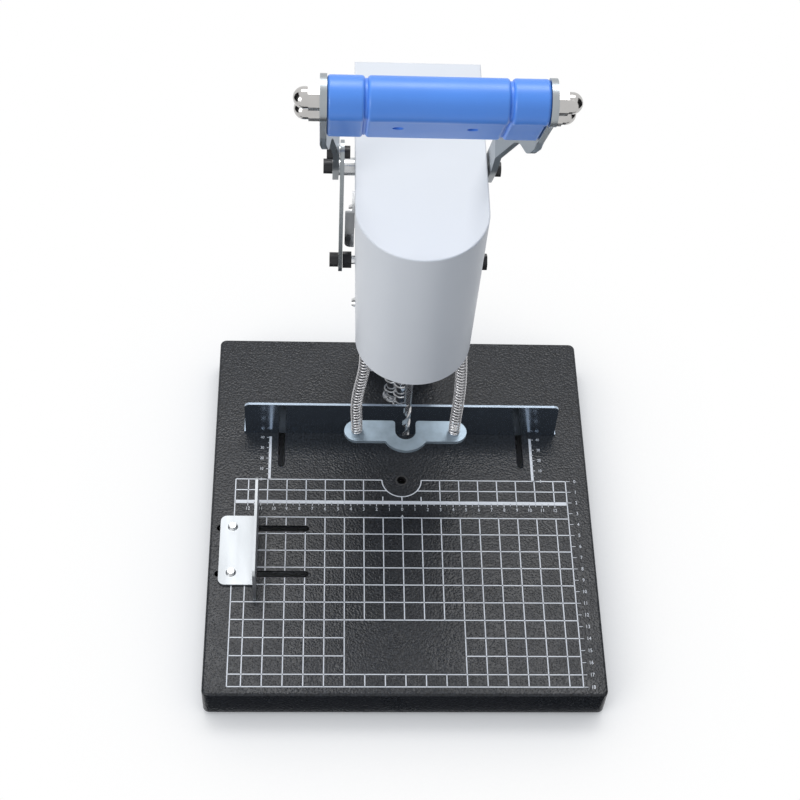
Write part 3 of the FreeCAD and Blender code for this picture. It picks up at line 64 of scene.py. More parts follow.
class TablePrintSettings(bpy.types.PropertyGroup):
    line_width: bpy.props.FloatProperty(
        name="Line width", description="Width of the grid's thin lines", default=0.0008, unit="LENGTH")
    band_width: bpy.props.FloatProperty(
        name="Band width", description="Width of the thick line over the numbers", default=0.0030,
        unit="LENGTH")
    ink_height: bpy.props.FloatProperty(
        name="Ink height", description="How far the print stands on the table", default=0.00006,
        unit="LENGTH")
    cell: bpy.props.FloatProperty(
        name="Cell", description="Spacing of the grid", default=0.015, unit="LENGTH")
    numeral_height: bpy.props.FloatProperty(
        name="Numeral height", description="Height of the scale's numbers", default=0.0029,
        unit="LENGTH")
    ink_colour: bpy.props.FloatVectorProperty(
        name="Ink colour", description="Colour of the print", default=(0.84, 0.86, 0.90),
        subtype="COLOR")


class SpringSettings(bpy.types.PropertyGroup):
    presser_turns: bpy.props.IntProperty(
        name="Presser turns", description="Coils in each presser spring", default=36)
    presser_wire: bpy.props.FloatProperty(
        name="Presser wire", description="Wire radius of a presser spring", default=0.00055,
        precision=5, unit="LENGTH")
    return_turns: bpy.props.IntProperty(
        name="Return turns", description="Coils in each return spring", default=13)
    return_wire: bpy.props.FloatProperty(
        name="Return wire", description="Wire radius of a return spring", default=0.00075,
        precision=5, unit="LENGTH")


class FinishSettings(bpy.types.PropertyGroup):
    enamel: bpy.props.FloatVectorProperty(
        name="Enamel", description="Powder coat of the table", default=(0.019, 0.021, 0.025),
        subtype="COLOR")
    cover_paint: bpy.props.FloatVectorProperty(
        name="Cover paint", description="Paint of the cover and column", default=(0.78, 0.80, 0.83),
        subtype="COLOR")
    grip_blue: bpy.props.FloatVectorProperty(
        name="Grip blue", description="Plastic of the grip", default=(0.09, 0.30, 0.90),
        subtype="COLOR")


class StageSettings(bpy.types.PropertyGroup):
    floor_colour: bpy.props.FloatVectorProperty(
        name="Floor colour", description="Colour of the studio floor", default=(0.98, 0.98, 0.98),
        subtype="COLOR")
    lens: bpy.props.FloatProperty(
        name="Lens", description="Focal length on a 36 mm sensor", default=75.97)
    key_power: bpy.props.FloatProperty(
        name="Key power", description="Power of the large lamp behind", default=15.5, unit="POWER")


# Node helpers

def new_tree(name):
    material = bpy.data.materials.new(name)
    material.use_nodes = True
    shader = material.node_tree.nodes["Principled BSDF"]
    return material, material.node_tree, shader


def link(tree, source, target):
    tree.links.new(source, target)


def give(tree, value, socket):
    """Link an output to a socket, or set the socket to a plain value."""
    if isinstance(value, bpy.types.NodeSocket):
        link(tree, value, socket)
    else:
        socket.default_value = value


def arithmetic(tree, operation, first, second, clamp=False):
    """A math node on two values, each an output or a number."""
    node = tree.nodes.new("ShaderNodeMath")
    node.operation = operation
    node.use_clamp = clamp
    give(tree, first, node.inputs[0])
    give(tree, second, node.inputs[1])
    return node.outputs["Value"]


def blended(tree, share, first, second):
    """The first colour where share is 0 and the second where it is 1."""
    node = tree.nodes.new("ShaderNodeMix")
    node.data_type = "RGBA"
    link(tree, share, node.inputs["Factor"])
    give(tree, first, node.inputs["A"])
    give(tree, second, node.inputs["B"])
    return node.outputs["Result"]


def object_coordinates(tree):
    return tree.nodes.new("ShaderNodeTexCoord").outputs["Object"]


def stretched(tree, scale):
    """Object coordinates scaled apart along each axis, for grain and brushing."""
    mapping = tree.nodes.new("ShaderNodeMapping")
    mapping.inputs["Scale"].default_value = scale
    link(tree, object_coordinates(tree), mapping.inputs["Vector"])
    return mapping.outputs["Vector"]


def new_group(name, inputs, outputs):
    """A node group with named sockets, each (name, kind, default)."""
    group = bpy.data.node_groups.new(name, "ShaderNodeTree")
    for label, kind, default in inputs:
        socket = group.interface.new_socket(label, in_out="INPUT", socket_type=kind)
        if default is not None:
            socket.default_value = default
    for label, kind in outputs:
        group.interface.new_socket(label, in_out="OUTPUT", socket_type=kind)
    return group, group.nodes.new("NodeGroupInput"), group.nodes.new("NodeGroupOutput")


def noise(tree, vector, scale, detail=3.0, roughness=0.55):
    node = tree.nodes.new("ShaderNodeTexNoise")
    node.inputs["Detail"].default_value = detail
    node.inputs["Roughness"].default_value = roughness
    link(tree, vector, node.inputs["Vector"])
    give(tree, scale, node.inputs["Scale"])
    return node.outputs["Fac"]


def spread(tree, value, low, high, start=0.3, end=0.7):
    """Map a texture's middle range onto low to high, which may be sockets or numbers."""
    node = tree.nodes.new("ShaderNodeMapRange")
    node.inputs["From Min"].default_value = start
    node.inputs["From Max"].default_value = end
    give(tree, low, node.inputs["To Min"])
    give(tree, high, node.inputs["To Max"])
    link(tree, value, node.inputs["Value"])
    return node.outputs["Result"]


def grain_group():
    """Surface grain: a fine bump, and a roughness that wanders between two values."""
    found = bpy.data.node_groups.get("surface_grain")
    if found:
        return found
    tree, given, result = new_group(
        "surface_grain",
        [
            ("Vector", "NodeSocketVector", None), ("Scale", "NodeSocketFloat", 900.0),
            ("Depth", "NodeSocketFloat", 0.0001), ("Smooth", "NodeSocketFloat", 0.3),
            ("Rough", "NodeSocketFloat", 0.45),
        ],
        [("Roughness", "NodeSocketFloat"), ("Normal", "NodeSocketVector")],
    )
    fine = noise(tree, given.outputs["Vector"], given.outputs["Scale"], 2.0)
    bump = tree.nodes.new("ShaderNodeBump")
    bump.inputs["Strength"].default_value = 0.8
    link(tree, given.outputs["Depth"], bump.inputs["Distance"])
    link(tree, fine, bump.inputs["Height"])
    slow = noise(tree, given.outputs["Vector"], 35.0, 4.0)
    wander = spread(tree, slow, given.outputs["Smooth"], given.outputs["Rough"])
    link(tree, wander, result.inputs["Roughness"])
    link(tree, bump.outputs["Normal"], result.inputs["Normal"])
    return tree


def tint_group():
    """Colour variation: a colour that wanders a little darker and lighter over the surface."""
    found = bpy.data.node_groups.get("colour_wander")
    if found:
        return found
    tree, given, result = new_group(
        "colour_wander",
        [
            ("Vector", "NodeSocketVector", None), ("Scale", "NodeSocketFloat", 30.0),
            ("Dark", "NodeSocketColor", None), ("Light", "NodeSocketColor", None),
        ],
        [("Color", "NodeSocketColor")],
    )
    patch = noise(tree, given.outputs["Vector"], given.outputs["Scale"], 5.0)
    share = spread(tree, patch, 0.0, 1.0)
    colour = blended(tree, share, given.outputs["Dark"], given.outputs["Light"])
    link(tree, colour, result.inputs["Color"])
    return tree


def colour_of(rgb, share=1.0):
    """A colour made darker or lighter by a share, with its alpha."""
    return tuple(min(1.0, channel * share) for channel in rgb) + (1.0,)


def finish(name, colour, metal=0.0, rough=(0.3, 0.45), grain=900.0, depth=0.0001,
           vary=0.08, patch=30.0, stretch=None, gloss=0.5):
    """A finish from the shared groups: grain bump, wandering roughness and tint."""
    material, tree, shader = new_tree(name)
    shader.inputs["Metallic"].default_value = metal
    shader.inputs["Specular IOR Level"].default_value = gloss
    vector = stretched(tree, stretch) if stretch else object_coordinates(tree)
    surface = tree.nodes.new("ShaderNodeGroup")
    surface.node_tree = grain_group()
    link(tree, vector, surface.inputs["Vector"])
    surface.inputs["Scale"].default_value = grain
    surface.inputs["Depth"].default_value = depth
    surface.inputs["Smooth"].default_value = rough[0]
    surface.inputs["Rough"].default_value = rough[1]
    link(tree, surface.outputs["Roughness"], shader.inputs["Roughness"])
    link(tree, surface.outputs["Normal"], shader.inputs["Normal"])
    tint = tree.nodes.new("ShaderNodeGroup")
    tint.node_tree = tint_group()
    link(tree, vector, tint.inputs["Vector"])
    tint.inputs["Scale"].default_value = patch
    tint.inputs["Dark"].default_value = colour_of(colour, 1 - vary)
    tint.inputs["Light"].default_value = colour_of(colour, 1 + vary)
    link(tree, tint.outputs["Color"], shader.inputs["Base Color"])
    return material


def powder_coat(colour):
    """Black wrinkle powder coat: rounded bumps under a millimetre across."""
    material = finish("black_powder_coat", colour, rough=(0.24, 0.34), grain=700.0, depth=0.0,
                      vary=0.85, patch=620.0, gloss=0.28)
    tree = material.node_tree
    shader = tree.nodes["Principled BSDF"]
    pits = tree.nodes.new("ShaderNodeTexVoronoi")
    pits.feature = "SMOOTH_F1"
    pits.inputs["Scale"].default_value = 700.0
    link(tree, object_coordinates(tree), pits.inputs["Vector"])
    bump = tree.nodes.new("ShaderNodeBump")
    bump.inputs["Strength"].default_value = 1.0
    bump.inputs["Distance"].default_value = 0.0003
    bump.invert = True
    link(tree, pits.outputs["Distance"], bump.inputs["Height"])
    link(tree, bump.outputs["Normal"], shader.inputs["Normal"])
    return material


def dress(material, *nodes):
    """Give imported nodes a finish."""
    for name in nodes:
        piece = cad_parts[name]
        piece.data.materials.clear()
        piece.data.materials.append(material)


# Mesh helpers

def choose(*objects):
    """Select these objects alone, the first of them active."""
    bpy.ops.object.select_all(action="DESELECT")
    for thing in objects:
        thing.select_set(True)
    bpy.context.view_layer.objects.active = objects[0]


def settle(thing):
    """Put a piece's place into its mesh, so its object sits at the origin."""
    choose(thing)
    bpy.ops.object.transform_apply(location=True, rotation=True, scale=True)


def joined(name, parts):
    """Join parts into one piece with its origin at the world's."""
    choose(*parts)
    if len(parts) > 1:
        bpy.ops.object.join()
    piece = bpy.context.view_layer.objects.active
    piece.name = name
    piece.data.name = name
    settle(piece)
    return piece


def smooth(piece, degrees):
    choose(piece)
    bpy.ops.object.shade_smooth_by_angle(angle=math.radians(degrees))


def finish_piece(piece, material, body):
    """Give a modelled piece its finish and the body it rides."""
    piece.data.materials.clear()
    piece.data.materials.append(material)
    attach(piece, body)
    return piece


# The print on the table

# Places are metres from the drill hole: +X to the right, +Y to the rear. A zone is x0, x1, y0, y1.

SLOTS = [
    (-0.1435, -0.0715, -0.0485, -0.0425), (-0.1435, -0.0715, -0.0890, -0.0830),
]
BLANK = (-0.0448, 0.0448, -0.1698, -0.1252)
HOLE_RING = 0.0155
EDGE = 0.130
BAND_ROW = 0.020
BAND_SHIFT = 0.001
FIELD_ROW = 0.035
LAST_ROW = 0.180
CENTIMETRE = 0.010
HALF_CENTIMETRE = 0.005
TICK_WIDTH = 0.0004
NUMERAL_NARROW = 0.82
NUMERAL_SIZE = 1.45
FRONT_TICK_TOP = -0.0215
FRONT_TICK_BASE = -0.0222
FRONT_NUMERALS = -0.0273
SIDE_TICK = 0.0035
SIDE_NUMERALS = 0.0073
REAR_SCALE_X = 0.104
REAR_SCALE_LENGTH = 0.041
REAR_SCALE_WIDTH = 0.0020
REAR_NUMERALS = 0.0064


def cuts_of(fixed, across, zones):
    """The stretches that zones cut out of a line at a fixed place, running the other way."""
    found = []
    for x0, x1, y0, y1 in zones:
        low, high = (y0, y1) if across else (x0, x1)
        start, end = (x0, x1) if across else (y0, y1)
        if low < fixed < high:
            found.append((start, end))
    return sorted(found)


def stretches(start, end, cuts):
    """What is left of start to end once the cuts are taken out."""
    at = start
    left = []
    for low, high in cuts:
        if high <= at or low >= end:
            continue
        if low > at:
            left.append((at, low))
        at = max(at, high)
    if at < end:
        left.append((at, end))
    return left


def ink_bar(x0, x1, y0, y1, height):
    """One printed bar, in the table's own coordinates with the drill hole at the centre."""
    bpy.ops.mesh.primitive_cube_add(
        size=1.0,
        location=((x0 + x1) / 2, DRILL_Y + (y0 + y1) / 2, TABLE_Z + height / 2),
    )
    bar = bpy.context.object
    bar.scale = (x1 - x0, y1 - y0, height)
    return bar


def across_bar(y, x0, x1, width, height, zones):
    """A line from left to right, in as many bars as the zones leave."""
    cuts = cuts_of(y, True, zones)
    return [
        ink_bar(a, b, y - width / 2, y + width / 2, height) for a, b in stretches(x0, x1, cuts)
    ]


def upright_bar(x, y0, y1, width, height, zones):
    """A line from front to rear, in as many bars as the zones leave."""
    cuts = cuts_of(x, False, zones)
    return [
        ink_bar(x - width / 2, x + width / 2, a, b, height) for a, b in stretches(y0, y1, cuts)
    ]


def numeral(text, x, y, height, ink):
    """One number of a scale, as flat print centred on its place."""
    bpy.ops.object.text_add(location=(x, DRILL_Y + y, TABLE_Z + ink / 2))
    words = bpy.context.object
    words.data.body = text
    words.data.size = height * NUMERAL_SIZE
    words.data.align_x = "CENTER"
    words.data.align_y = "CENTER"
    words.data.extrude = ink / 2
    words.data.resolution_u = 3
    words.scale = (NUMERAL_NARROW, 1.0, 1.0)
    bpy.ops.object.convert(target="MESH")
    return bpy.context.object


def hole_ring(radius, width, ink):
    """The half ring that keeps the grid clear of the drill hole."""
    outer = radius + width / 2
    inner_share = (radius - width / 2) / outer
    bpy.ops.mesh.primitive_circle_add(vertices=80, radius=outer, location=(0, DRILL_Y, TABLE_Z + ink))
    ring = bpy.context.object
    bpy.ops.object.mode_set(mode="EDIT")
    bpy.ops.mesh.select_all(action="SELECT")
    bpy.ops.mesh.extrude_region()
    bpy.ops.transform.resize(value=(inner_share, inner_share, 1.0))
    bpy.ops.mesh.select_all(action="SELECT")
    bpy.ops.mesh.normals_make_consistent(inside=False)
    bpy.ops.mesh.bisect(plane_co=(0, DRILL_Y, 0), plane_no=(0, 1, 0), clear_outer=True)
    bpy.ops.object.mode_set(mode="OBJECT")
    thick = ring.modifiers.new("ink", "SOLIDIFY")
    thick.thickness = ink
    thick.offset = -1
    bpy.ops.object.modifier_apply(modifier=thick.name)
    return ring


def pointer_mark(ink):
    """The small triangle under the zero."""
    bpy.ops.mesh.primitive_cylinder_add(
        vertices=3, radius=0.0013, depth=ink, location=(0, DRILL_Y - 0.0335, TABLE_Z + ink / 2))
    return bpy.context.object


class PAPERDRILL_OT_table_print(bpy.types.Operator):
    """The grid and scales printed on the table"""
    bl_idname = "paperdrill.table_print"
    bl_label = "Table print"

    def execute(self, context):
        own = context.scene.table_print_settings
        ink = own.ink_height
        line = own.line_width
        parts = self.grid_rows(own, ink)
        parts += self.grid_columns(own, ink)
        parts += self.front_scale(own, ink)
        parts += self.side_scale(own, ink)
        parts += self.rear_scales(own, ink)
        parts.append(hole_ring(HOLE_RING, line, ink))
        parts.append(pointer_mark(ink))
        piece = joined("table_print", parts)
        material = finish("scale_ink", own.ink_colour, rough=(0.4, 0.55), grain=1500.0, depth=0.00002)
        finish_piece(piece, material, "base")
        return {"FINISHED"}

    def grid_rows(self, own, ink):
        """The lines from left to right: the third is the thick one, over the numbers."""
        rows = [0.0, CENTIMETRE, BAND_ROW]
        rows += [FIELD_ROW + own.cell * i for i in range(10)]
        rows += [LAST_ROW]
        parts = []
        for row in rows:
            zones = SLOTS + [BLANK]
            if row < HOLE_RING:
                half = math.sqrt(HOLE_RING ** 2 - row ** 2)
                zones = [(-half, half, -row - 0.001, -row + 0.001)] + zones
            thick = row == BAND_ROW
            width = own.band_width if thick else own.line_width
            shift = BAND_SHIFT if thick else 0.0
            parts += across_bar(-row - shift, -EDGE, EDGE, width, ink, zones)
        return parts

    def grid_columns(self, own, ink):
        """The lines from front to rear, open at the numbers and short behind the drill hole."""
        zones = SLOTS + [BLANK]
        parts = []
        for i in range(-8, 9):
            x = own.cell * i
            rear = -HOLE_RING if abs(x) < HOLE_RING else 0.0
            parts += upright_bar(x, -BAND_ROW, rear, own.line_width, ink, zones)
            parts += upright_bar(x, -LAST_ROW, -FIELD_ROW, own.line_width, ink, zones)
        for side in (-1, 1):
            parts += upright_bar(side * EDGE, -LAST_ROW, 0.0, own.line_width, ink, zones)
        return parts

    def front_scale(self, own, ink):
        """Numbers 12 to 0 to 12 under the thick line, with a tick at each half centimetre."""
        parts = []
        for i in range(-24, 25):
            tall = 0.0024 if i % 2 == 0 else 0.0015
            parts += upright_bar(
                HALF_CENTIMETRE * i, FRONT_TICK_BASE - tall, FRONT_TICK_TOP, 0.0005, ink, SLOTS)
        for i in range(-12, 13):
            parts.append(numeral(str(abs(i)), CENTIMETRE * i, FRONT_NUMERALS, own.numeral_height, ink))
        return parts

    def side_scale(self, own, ink):
        """Numbers 0 to 18 down the right edge."""
        parts = []
        for i in range(0, 19):
            y = -CENTIMETRE * i
            parts.append(ink_bar(EDGE, EDGE + SIDE_TICK, y - TICK_WIDTH / 2, y + TICK_WIDTH / 2, ink))
            parts.append(numeral(str(i), EDGE + SIDE_NUMERALS, y, own.numeral_height, ink))
        return parts

    def rear_scales(self, own, ink):
        """The two scales that the fence slides along, from 0 at the grid to 40 mm behind it."""
        size = own.numeral_height * 0.85
        parts = []
        for side in (-1, 1):
            x = side * REAR_SCALE_X
            parts += upright_bar(x, 0.0, REAR_SCALE_LENGTH, REAR_SCALE_WIDTH, ink, [])
            for i in range(0, 9):
                reach = 0.0028 if i % 2 == 0 else 0.0019
                y = HALF_CENTIMETRE * i
                x0, x1 = sorted((x, x + side * reach))
                parts.append(ink_bar(x0, x1, y - TICK_WIDTH / 2, y + TICK_WIDTH / 2, ink))
                if i % 2 == 0:
                    parts.append(numeral(str(5 * i), x + side * REAR_NUMERALS, y, size, ink))
        return parts


# Springs

PRESSER_COIL = 0.0038
PRESSER_FOOT_X = 0.0368
PRESSER_HEAD_X = 0.034
PRESSER_SWAY = 0.0021
PRESSER_STUD = 0.004
RETURN_COIL = 0.0067
RETURN_SEAT = 0.002
RETURN_POSTS = (("return_spring_front", 0.0, 0.058), ("return_spring_rear", -0.006, 0.082))


def shade_inside(material, axis_y, radius):
    """Painted shade on the inner side of a coil: darker where the surface looks back at the axis."""
    tree = material.node_tree
    shader = tree.nodes["Principled BSDF"]
    wire = shader.inputs["Base Color"].links[0].from_socket
    place = tree.nodes.new("ShaderNodeSeparateXYZ")
    link(tree, object_coordinates(tree), place.inputs["Vector"])
    facing = tree.nodes.new("ShaderNodeSeparateXYZ")
    link(tree, tree.nodes.new("ShaderNodeNewGeometry").outputs["Normal"], facing.inputs["Vector"])
    offset = arithmetic(tree, "SUBTRACT", place.outputs["Y"], axis_y)
    outward = arithmetic(tree, "MULTIPLY", offset, facing.outputs["Y"])
    unshaded_share = spread(tree, outward, 0.12, 1.0, start=-0.5 * radius, end=0.1 * radius)
    # painted shade: the inner side of the coil goes to near black
    colour = blended(tree, unshaded_share, (0.02, 0.02, 0.022, 1.0), wire)
    link(tree, colour, shader.inputs["Base Color"])


def coil_points(centre_at, low, high, radius, wire, turns, hand, steps=20):
    """Points along a spring whose last turn at each end lies closed on its seat.

    centre_at gives the axis at a share of the height, and hand is 1 or -1 for the way it winds.
    """
    closed = 0.9
    points = []
    open_turns = turns - 2 * closed
    shut = wire * 2.1
    rise = high - low - 2 * wire
    for i in range(steps * turns + 1):
        turn = i / steps
        if turn < closed:
            height = shut * turn
        elif turn > turns - closed:
            height = rise - shut * (turns - turn)
        else:
            share = (turn - closed) / open_turns
            height = shut * closed + (rise - 2 * shut * closed) * share
        centre = centre_at(height / rise)
        angle = hand * 2 * math.pi * turn
        points.append((
            centre[0] + radius * math.cos(angle), centre[1] + radius * math.sin(angle),
            low + wire + height,
        ))
    return points


def wire_tube(name, points, wire, sides=4):
    """A round wire through points, as a closed mesh."""
    bpy.ops.curve.primitive_bezier_curve_add()
    thing = bpy.context.object
    curve = thing.data
    curve.splines.clear()
    spline = curve.splines.new("POLY")
    spline.points.add(len(points) - 1)
    for point, place in zip(spline.points, points):
        point.co = (*place, 1.0)
    curve.dimensions = "3D"
    curve.bevel_depth = wire
    curve.bevel_resolution = sides
    curve.use_fill_caps = True
    choose(thing)
    bpy.ops.object.convert(target="MESH")
    piece = bpy.context.object
    bpy.ops.object.mode_set(mode="EDIT")
    bpy.ops.mesh.select_all(action="SELECT")
    bpy.ops.mesh.remove_doubles(threshold=0.000001)
    bpy.ops.mesh.normals_make_consistent(inside=False)
    bpy.ops.object.mode_set(mode="OBJECT")
    piece.name = name
    piece.data.name = name
    settle(piece)
    smooth(piece, 50)
    return piece


class PAPERDRILL_OT_presser_springs(bpy.types.Operator):
    """The two long springs that push the presser plate down"""
    bl_idname = "paperdrill.presser_springs"
    bl_label = "Presser springs"

    def execute(self, context):
        own = context.scene.spring_settings
        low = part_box("presser_plate")[1][2]
        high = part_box("carriage_studs")[0][2] + PRESSER_STUD
        material = finish("spring_wire", (0.62, 0.62, 0.64), metal=1.0, rough=(0.16, 0.24),
                          grain=2500.0, depth=0.00002)
        # painted shade on the inner side of each presser coil
        shade_inside(material, DRILL_Y, PRESSER_COIL)
        for side, name in ((-1, "presser_spring_left"), (1, "presser_spring_right")):
            points = coil_points(
                self.axis_of(side), low, high, PRESSER_COIL, own.presser_wire, own.presser_turns, -side)
            piece = wire_tube(name, points, own.presser_wire)
            finish_piece(piece, material, "carriage_body")
            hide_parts("presser_springs")
            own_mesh(piece)
        return {"FINISHED"}

    def axis_of(self, side):
        """The bent axis of a long spring: an S on the left, and one bow on the right."""
        bottom = side * PRESSER_FOOT_X
        top = side * PRESSER_HEAD_X

        def centre_at(share):
            sway = math.sin(2 * math.pi * share) if side < 0 else -math.sin(math.pi * share)
            ease = math.sin(math.pi * min(max(share, 0.0), 1.0)) ** 0.5
            return bottom + (top - bottom) * share - PRESSER_SWAY * sway * ease, DRILL_Y

        return centre_at


class PAPERDRILL_OT_return_springs(bpy.types.Operator):
    """The springs round the guide posts that lift the motor back up"""
    bl_idname = "paperdrill.return_springs"
    bl_label = "Return springs"

    def execute(self, context):
        own = context.scene.spring_settings
        low = TABLE_Z + RETURN_SEAT
        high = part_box("carriage")[0][2]
        material = finish("return_wire", (0.45, 0.46, 0.48), metal=1.0, rough=(0.25, 0.4),
                          grain=2500.0, depth=0.00002)
        for name, x, behind in RETURN_POSTS:
            y = DRILL_Y + behind
            points = coil_points(
                lambda share: (x, y), low, high, RETURN_COIL, own.return_wire, own.return_turns, 1, 24)
            piece = wire_tube(name, points, own.return_wire)
            finish_piece(piece, material, "base")
            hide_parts("return_springs")
            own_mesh(piece)
        return {"FINISHED"}


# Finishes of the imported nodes

class PAPERDRILL_OT_base_finish(bpy.types.Operator):
    """Powder coat, rubber and plated pieces of the base"""
    bl_idname = "paperdrill.base_finish"
    bl_label = "Base finish"

    def execute(self, context):
        own = context.scene.finish_settings
        dress(powder_coat(own.enamel), "base_tray")
        rubber = finish("foot_rubber", (0.02, 0.02, 0.02), rough=(0.7, 0.85), grain=600.0, depth=0.0001)
        dress(rubber, "rubber_feet")
        zinc = finish("zinc_plate", (0.62, 0.63, 0.65), metal=1.0, rough=(0.25, 0.4), grain=1200.0,
                      depth=0.00003)
        dress(zinc, "foot_nuts", "stiffener_plate", "column_bolts", "column_plug", "post_nuts",
              "frame_screws", "fence_nuts", "side_stop_nuts")
        plastic = finish("black_moulding", (0.02, 0.02, 0.021), rough=(0.42, 0.55), grain=1500.0,
                         depth=0.00005)
        dress(plastic, "chip_bush", "switch_housing", "power_inlet", "power_supply", "switch_rocker")
        return {"FINISHED"}


class PAPERDRILL_OT_head_finish(bpy.types.Operator):
    """Paint of the cover and column, and what carries them"""
    bl_idname = "paperdrill.head_finish"
    bl_label = "Head finish"

    def execute(self, context):
        own = context.scene.finish_settings
        paint = finish("cover_paint", own.cover_paint, rough=(0.32, 0.42), grain=420.0,
                       depth=0.00004, vary=0.012, patch=12.0)
        dress(paint, "head_cover", "column")
        sheet = finish("frame_sheet", (0.55, 0.56, 0.58), metal=1.0, rough=(0.3, 0.45), grain=800.0,
                       depth=0.00004)
        dress(sheet, "head_frame")
        chrome = finish("ground_chrome", (0.72, 0.73, 0.75), metal=1.0, rough=(0.1, 0.18),
                        grain=1800.0, depth=0.00001)
        dress(chrome, "guide_posts", "cross_axle")
        zinc = finish("small_zinc", (0.66, 0.67, 0.68), metal=1.0, rough=(0.22, 0.36), grain=1600.0,
                      depth=0.00003)
        dress(zinc, "cover_screws", "stop_bracket", "bracket_screw", "pivot_sleeves", "crank_washer",
              "carriage_studs", "presser_studs", "tie_rods")
        black = finish("black_oxide", (0.018, 0.018, 0.02), metal=0.35, rough=(0.3, 0.45),
                       grain=1600.0, depth=0.00004)
        dress(black, "pivot_bolts", "pivot_nuts", "crank_bolt", "crank_nut", "link_bolt", "axle_nuts")
        return {"FINISHED"}


class PAPERDRILL_OT_lever_finish(bpy.types.Operator):
    """Plated arms, blue grip and acorn nuts"""
    bl_idname = "paperdrill.lever_finish"
    bl_label = "Lever finish"

    def execute(self, context):
        own = context.scene.finish_settings
        arm = finish("plated_plate", (0.34, 0.37, 0.39), metal=1.0, rough=(0.26, 0.38), grain=900.0,
                     depth=0.00004, stretch=(1.0, 0.4, 0.4))
        dress(arm, "arm_left", "arm_right", "link")
        grip = finish("grip_plastic", own.grip_blue, rough=(0.34, 0.42), grain=1400.0,
                      depth=0.00004, vary=0.03, patch=25.0, gloss=0.65)
        dress(grip, "grip_middle", "grip_end_left", "grip_end_right")
        chrome = finish("nut_chrome", (0.50, 0.49, 0.48), metal=1.0, rough=(0.12, 0.2), grain=1500.0,
                        depth=0.00001)
        dress(chrome, "acorn_nuts")
        return {"FINISHED"}


class PAPERDRILL_OT_carriage_finish(bpy.types.Operator):
    """Motor, bearings, chuck, drill and presser"""
    bl_idname = "paperdrill.carriage_finish"
    bl_label = "Carriage finish"

    def execute(self, context):
        machined = finish("machined_plate", (0.60, 0.61, 0.63), metal=1.0, rough=(0.3, 0.42),
                          grain=1000.0, depth=0.00004, stretch=(0.2, 1.0, 1.0))
        dress(machined, "carriage")
        can = finish("motor_can_steel", (0.5, 0.5, 0.52), metal=1.0, rough=(0.3, 0.4), grain=900.0,
                     depth=0.00003)
        dress(can, "motor_can")
        cap = finish("motor_cap_plastic", (0.025, 0.025, 0.025), rough=(0.45, 0.6), grain=1200.0,
                     depth=0.00005)
        dress(cap, "motor_end_cap")
        bronze = finish("sintered_bronze", (0.5, 0.34, 0.15), metal=1.0, rough=(0.35, 0.5),
                        grain=1800.0, depth=0.00006)
        dress(bronze, "spindle_bearing")
        chuck = finish("chuck_steel", (0.42, 0.42, 0.43), metal=1.0, rough=(0.22, 0.34),
                       grain=1500.0, depth=0.00004, stretch=(0.15, 0.15, 1.0))
        dress(chuck, "chuck")
        drill = finish("drill_steel", (0.5, 0.5, 0.51), metal=1.0, rough=(0.16, 0.28), grain=1600.0,
                       depth=0.00003, stretch=(0.2, 0.2, 1.0))
        dress(drill, "drill_bit")
        plate = finish("presser_plate_steel", (0.38, 0.47, 0.55), metal=1.0, rough=(0.42, 0.55),
                       grain=1000.0, depth=0.00004, vary=0.12, patch=120.0)
        dress(plate, "presser_plate")
        return {"FINISHED"}


class PAPERDRILL_OT_fence_finish(bpy.types.Operator):
    """Plated sheet of the fence and side stop, and their screws"""
    bl_idname = "paperdrill.fence_finish"
    bl_label = "Fence finish"

    def execute(self, context):
        sheet = finish("fence_sheet", (0.42, 0.50, 0.60), metal=1.0, rough=(0.13, 0.2), grain=900.0,
                       depth=0.00003, stretch=(0.15, 1.0, 1.0))
        dress(sheet, "fence")
        stop = finish("stop_sheet", (0.42, 0.44, 0.46), metal=1.0, rough=(0.42, 0.56), grain=900.0,
                      depth=0.00003, stretch=(1.0, 0.15, 1.0))
        dress(stop, "side_stop")
        screws = finish("table_screw_zinc", (0.66, 0.67, 0.68), metal=1.0, rough=(0.2, 0.32),
                        grain=1500.0, depth=0.00003)
        dress(screws, "fence_screws", "side_stop_screws")
        return {"FINISHED"}


# Studio

CAMERA_PLACE = (-0.0628, -0.7128, 1.1407)
CAMERA_TURN = (36.046, -3.043, -1.422)
CAMERA_SHIFT = (-0.02486, 0.01063)


def area_lamp(name, place, target, size, power):
    """A soft rectangular lamp that looks at a target."""
    bpy.ops.object.light_add(type="AREA", location=place)
    lamp = bpy.context.object
    lamp.name = name
    lamp.data.shape = "RECTANGLE"
    lamp.data.size = size[0]
    lamp.data.size_y = size[1]
    lamp.data.energy = power
    aim = Vector(target) - Vector(place)
    lamp.rotation_euler = aim.to_track_quat("-Z", "Y").to_euler()
    return lamp


def background_rays(tree):
    """1 for the rays that show the background: straight, mirrored or through glass."""
    path = tree.nodes.new("ShaderNodeLightPath")
    total = path.outputs["Is Camera Ray"]
    for label in ("Is Glossy Ray", "Is Transmission Ray"):
        total = arithmetic(tree, "ADD", total, path.outputs[label], clamp=True)
    return total


def black_flag(name, place, tilt, size):
    """A dark panel seen only in reflections: it gives metal and enamel their dark edges."""
    bpy.ops.mesh.primitive_plane_add(size=1.0, location=place, rotation=(0, math.radians(tilt), 0))
    flag = bpy.context.object
    flag.name = name
    flag.scale = (*size, 1.0)
    settle(flag)
    material, tree, shader = new_tree(name + "_cloth")
    shader.inputs["Base Color"].default_value = (0.01, 0.01, 0.01, 1.0)
    shader.inputs["Roughness"].default_value = 1.0
    flag.data.materials.append(material)
    for ray in ("camera", "diffuse", "shadow", "transmission"):
        setattr(flag, "visible_" + ray, False)


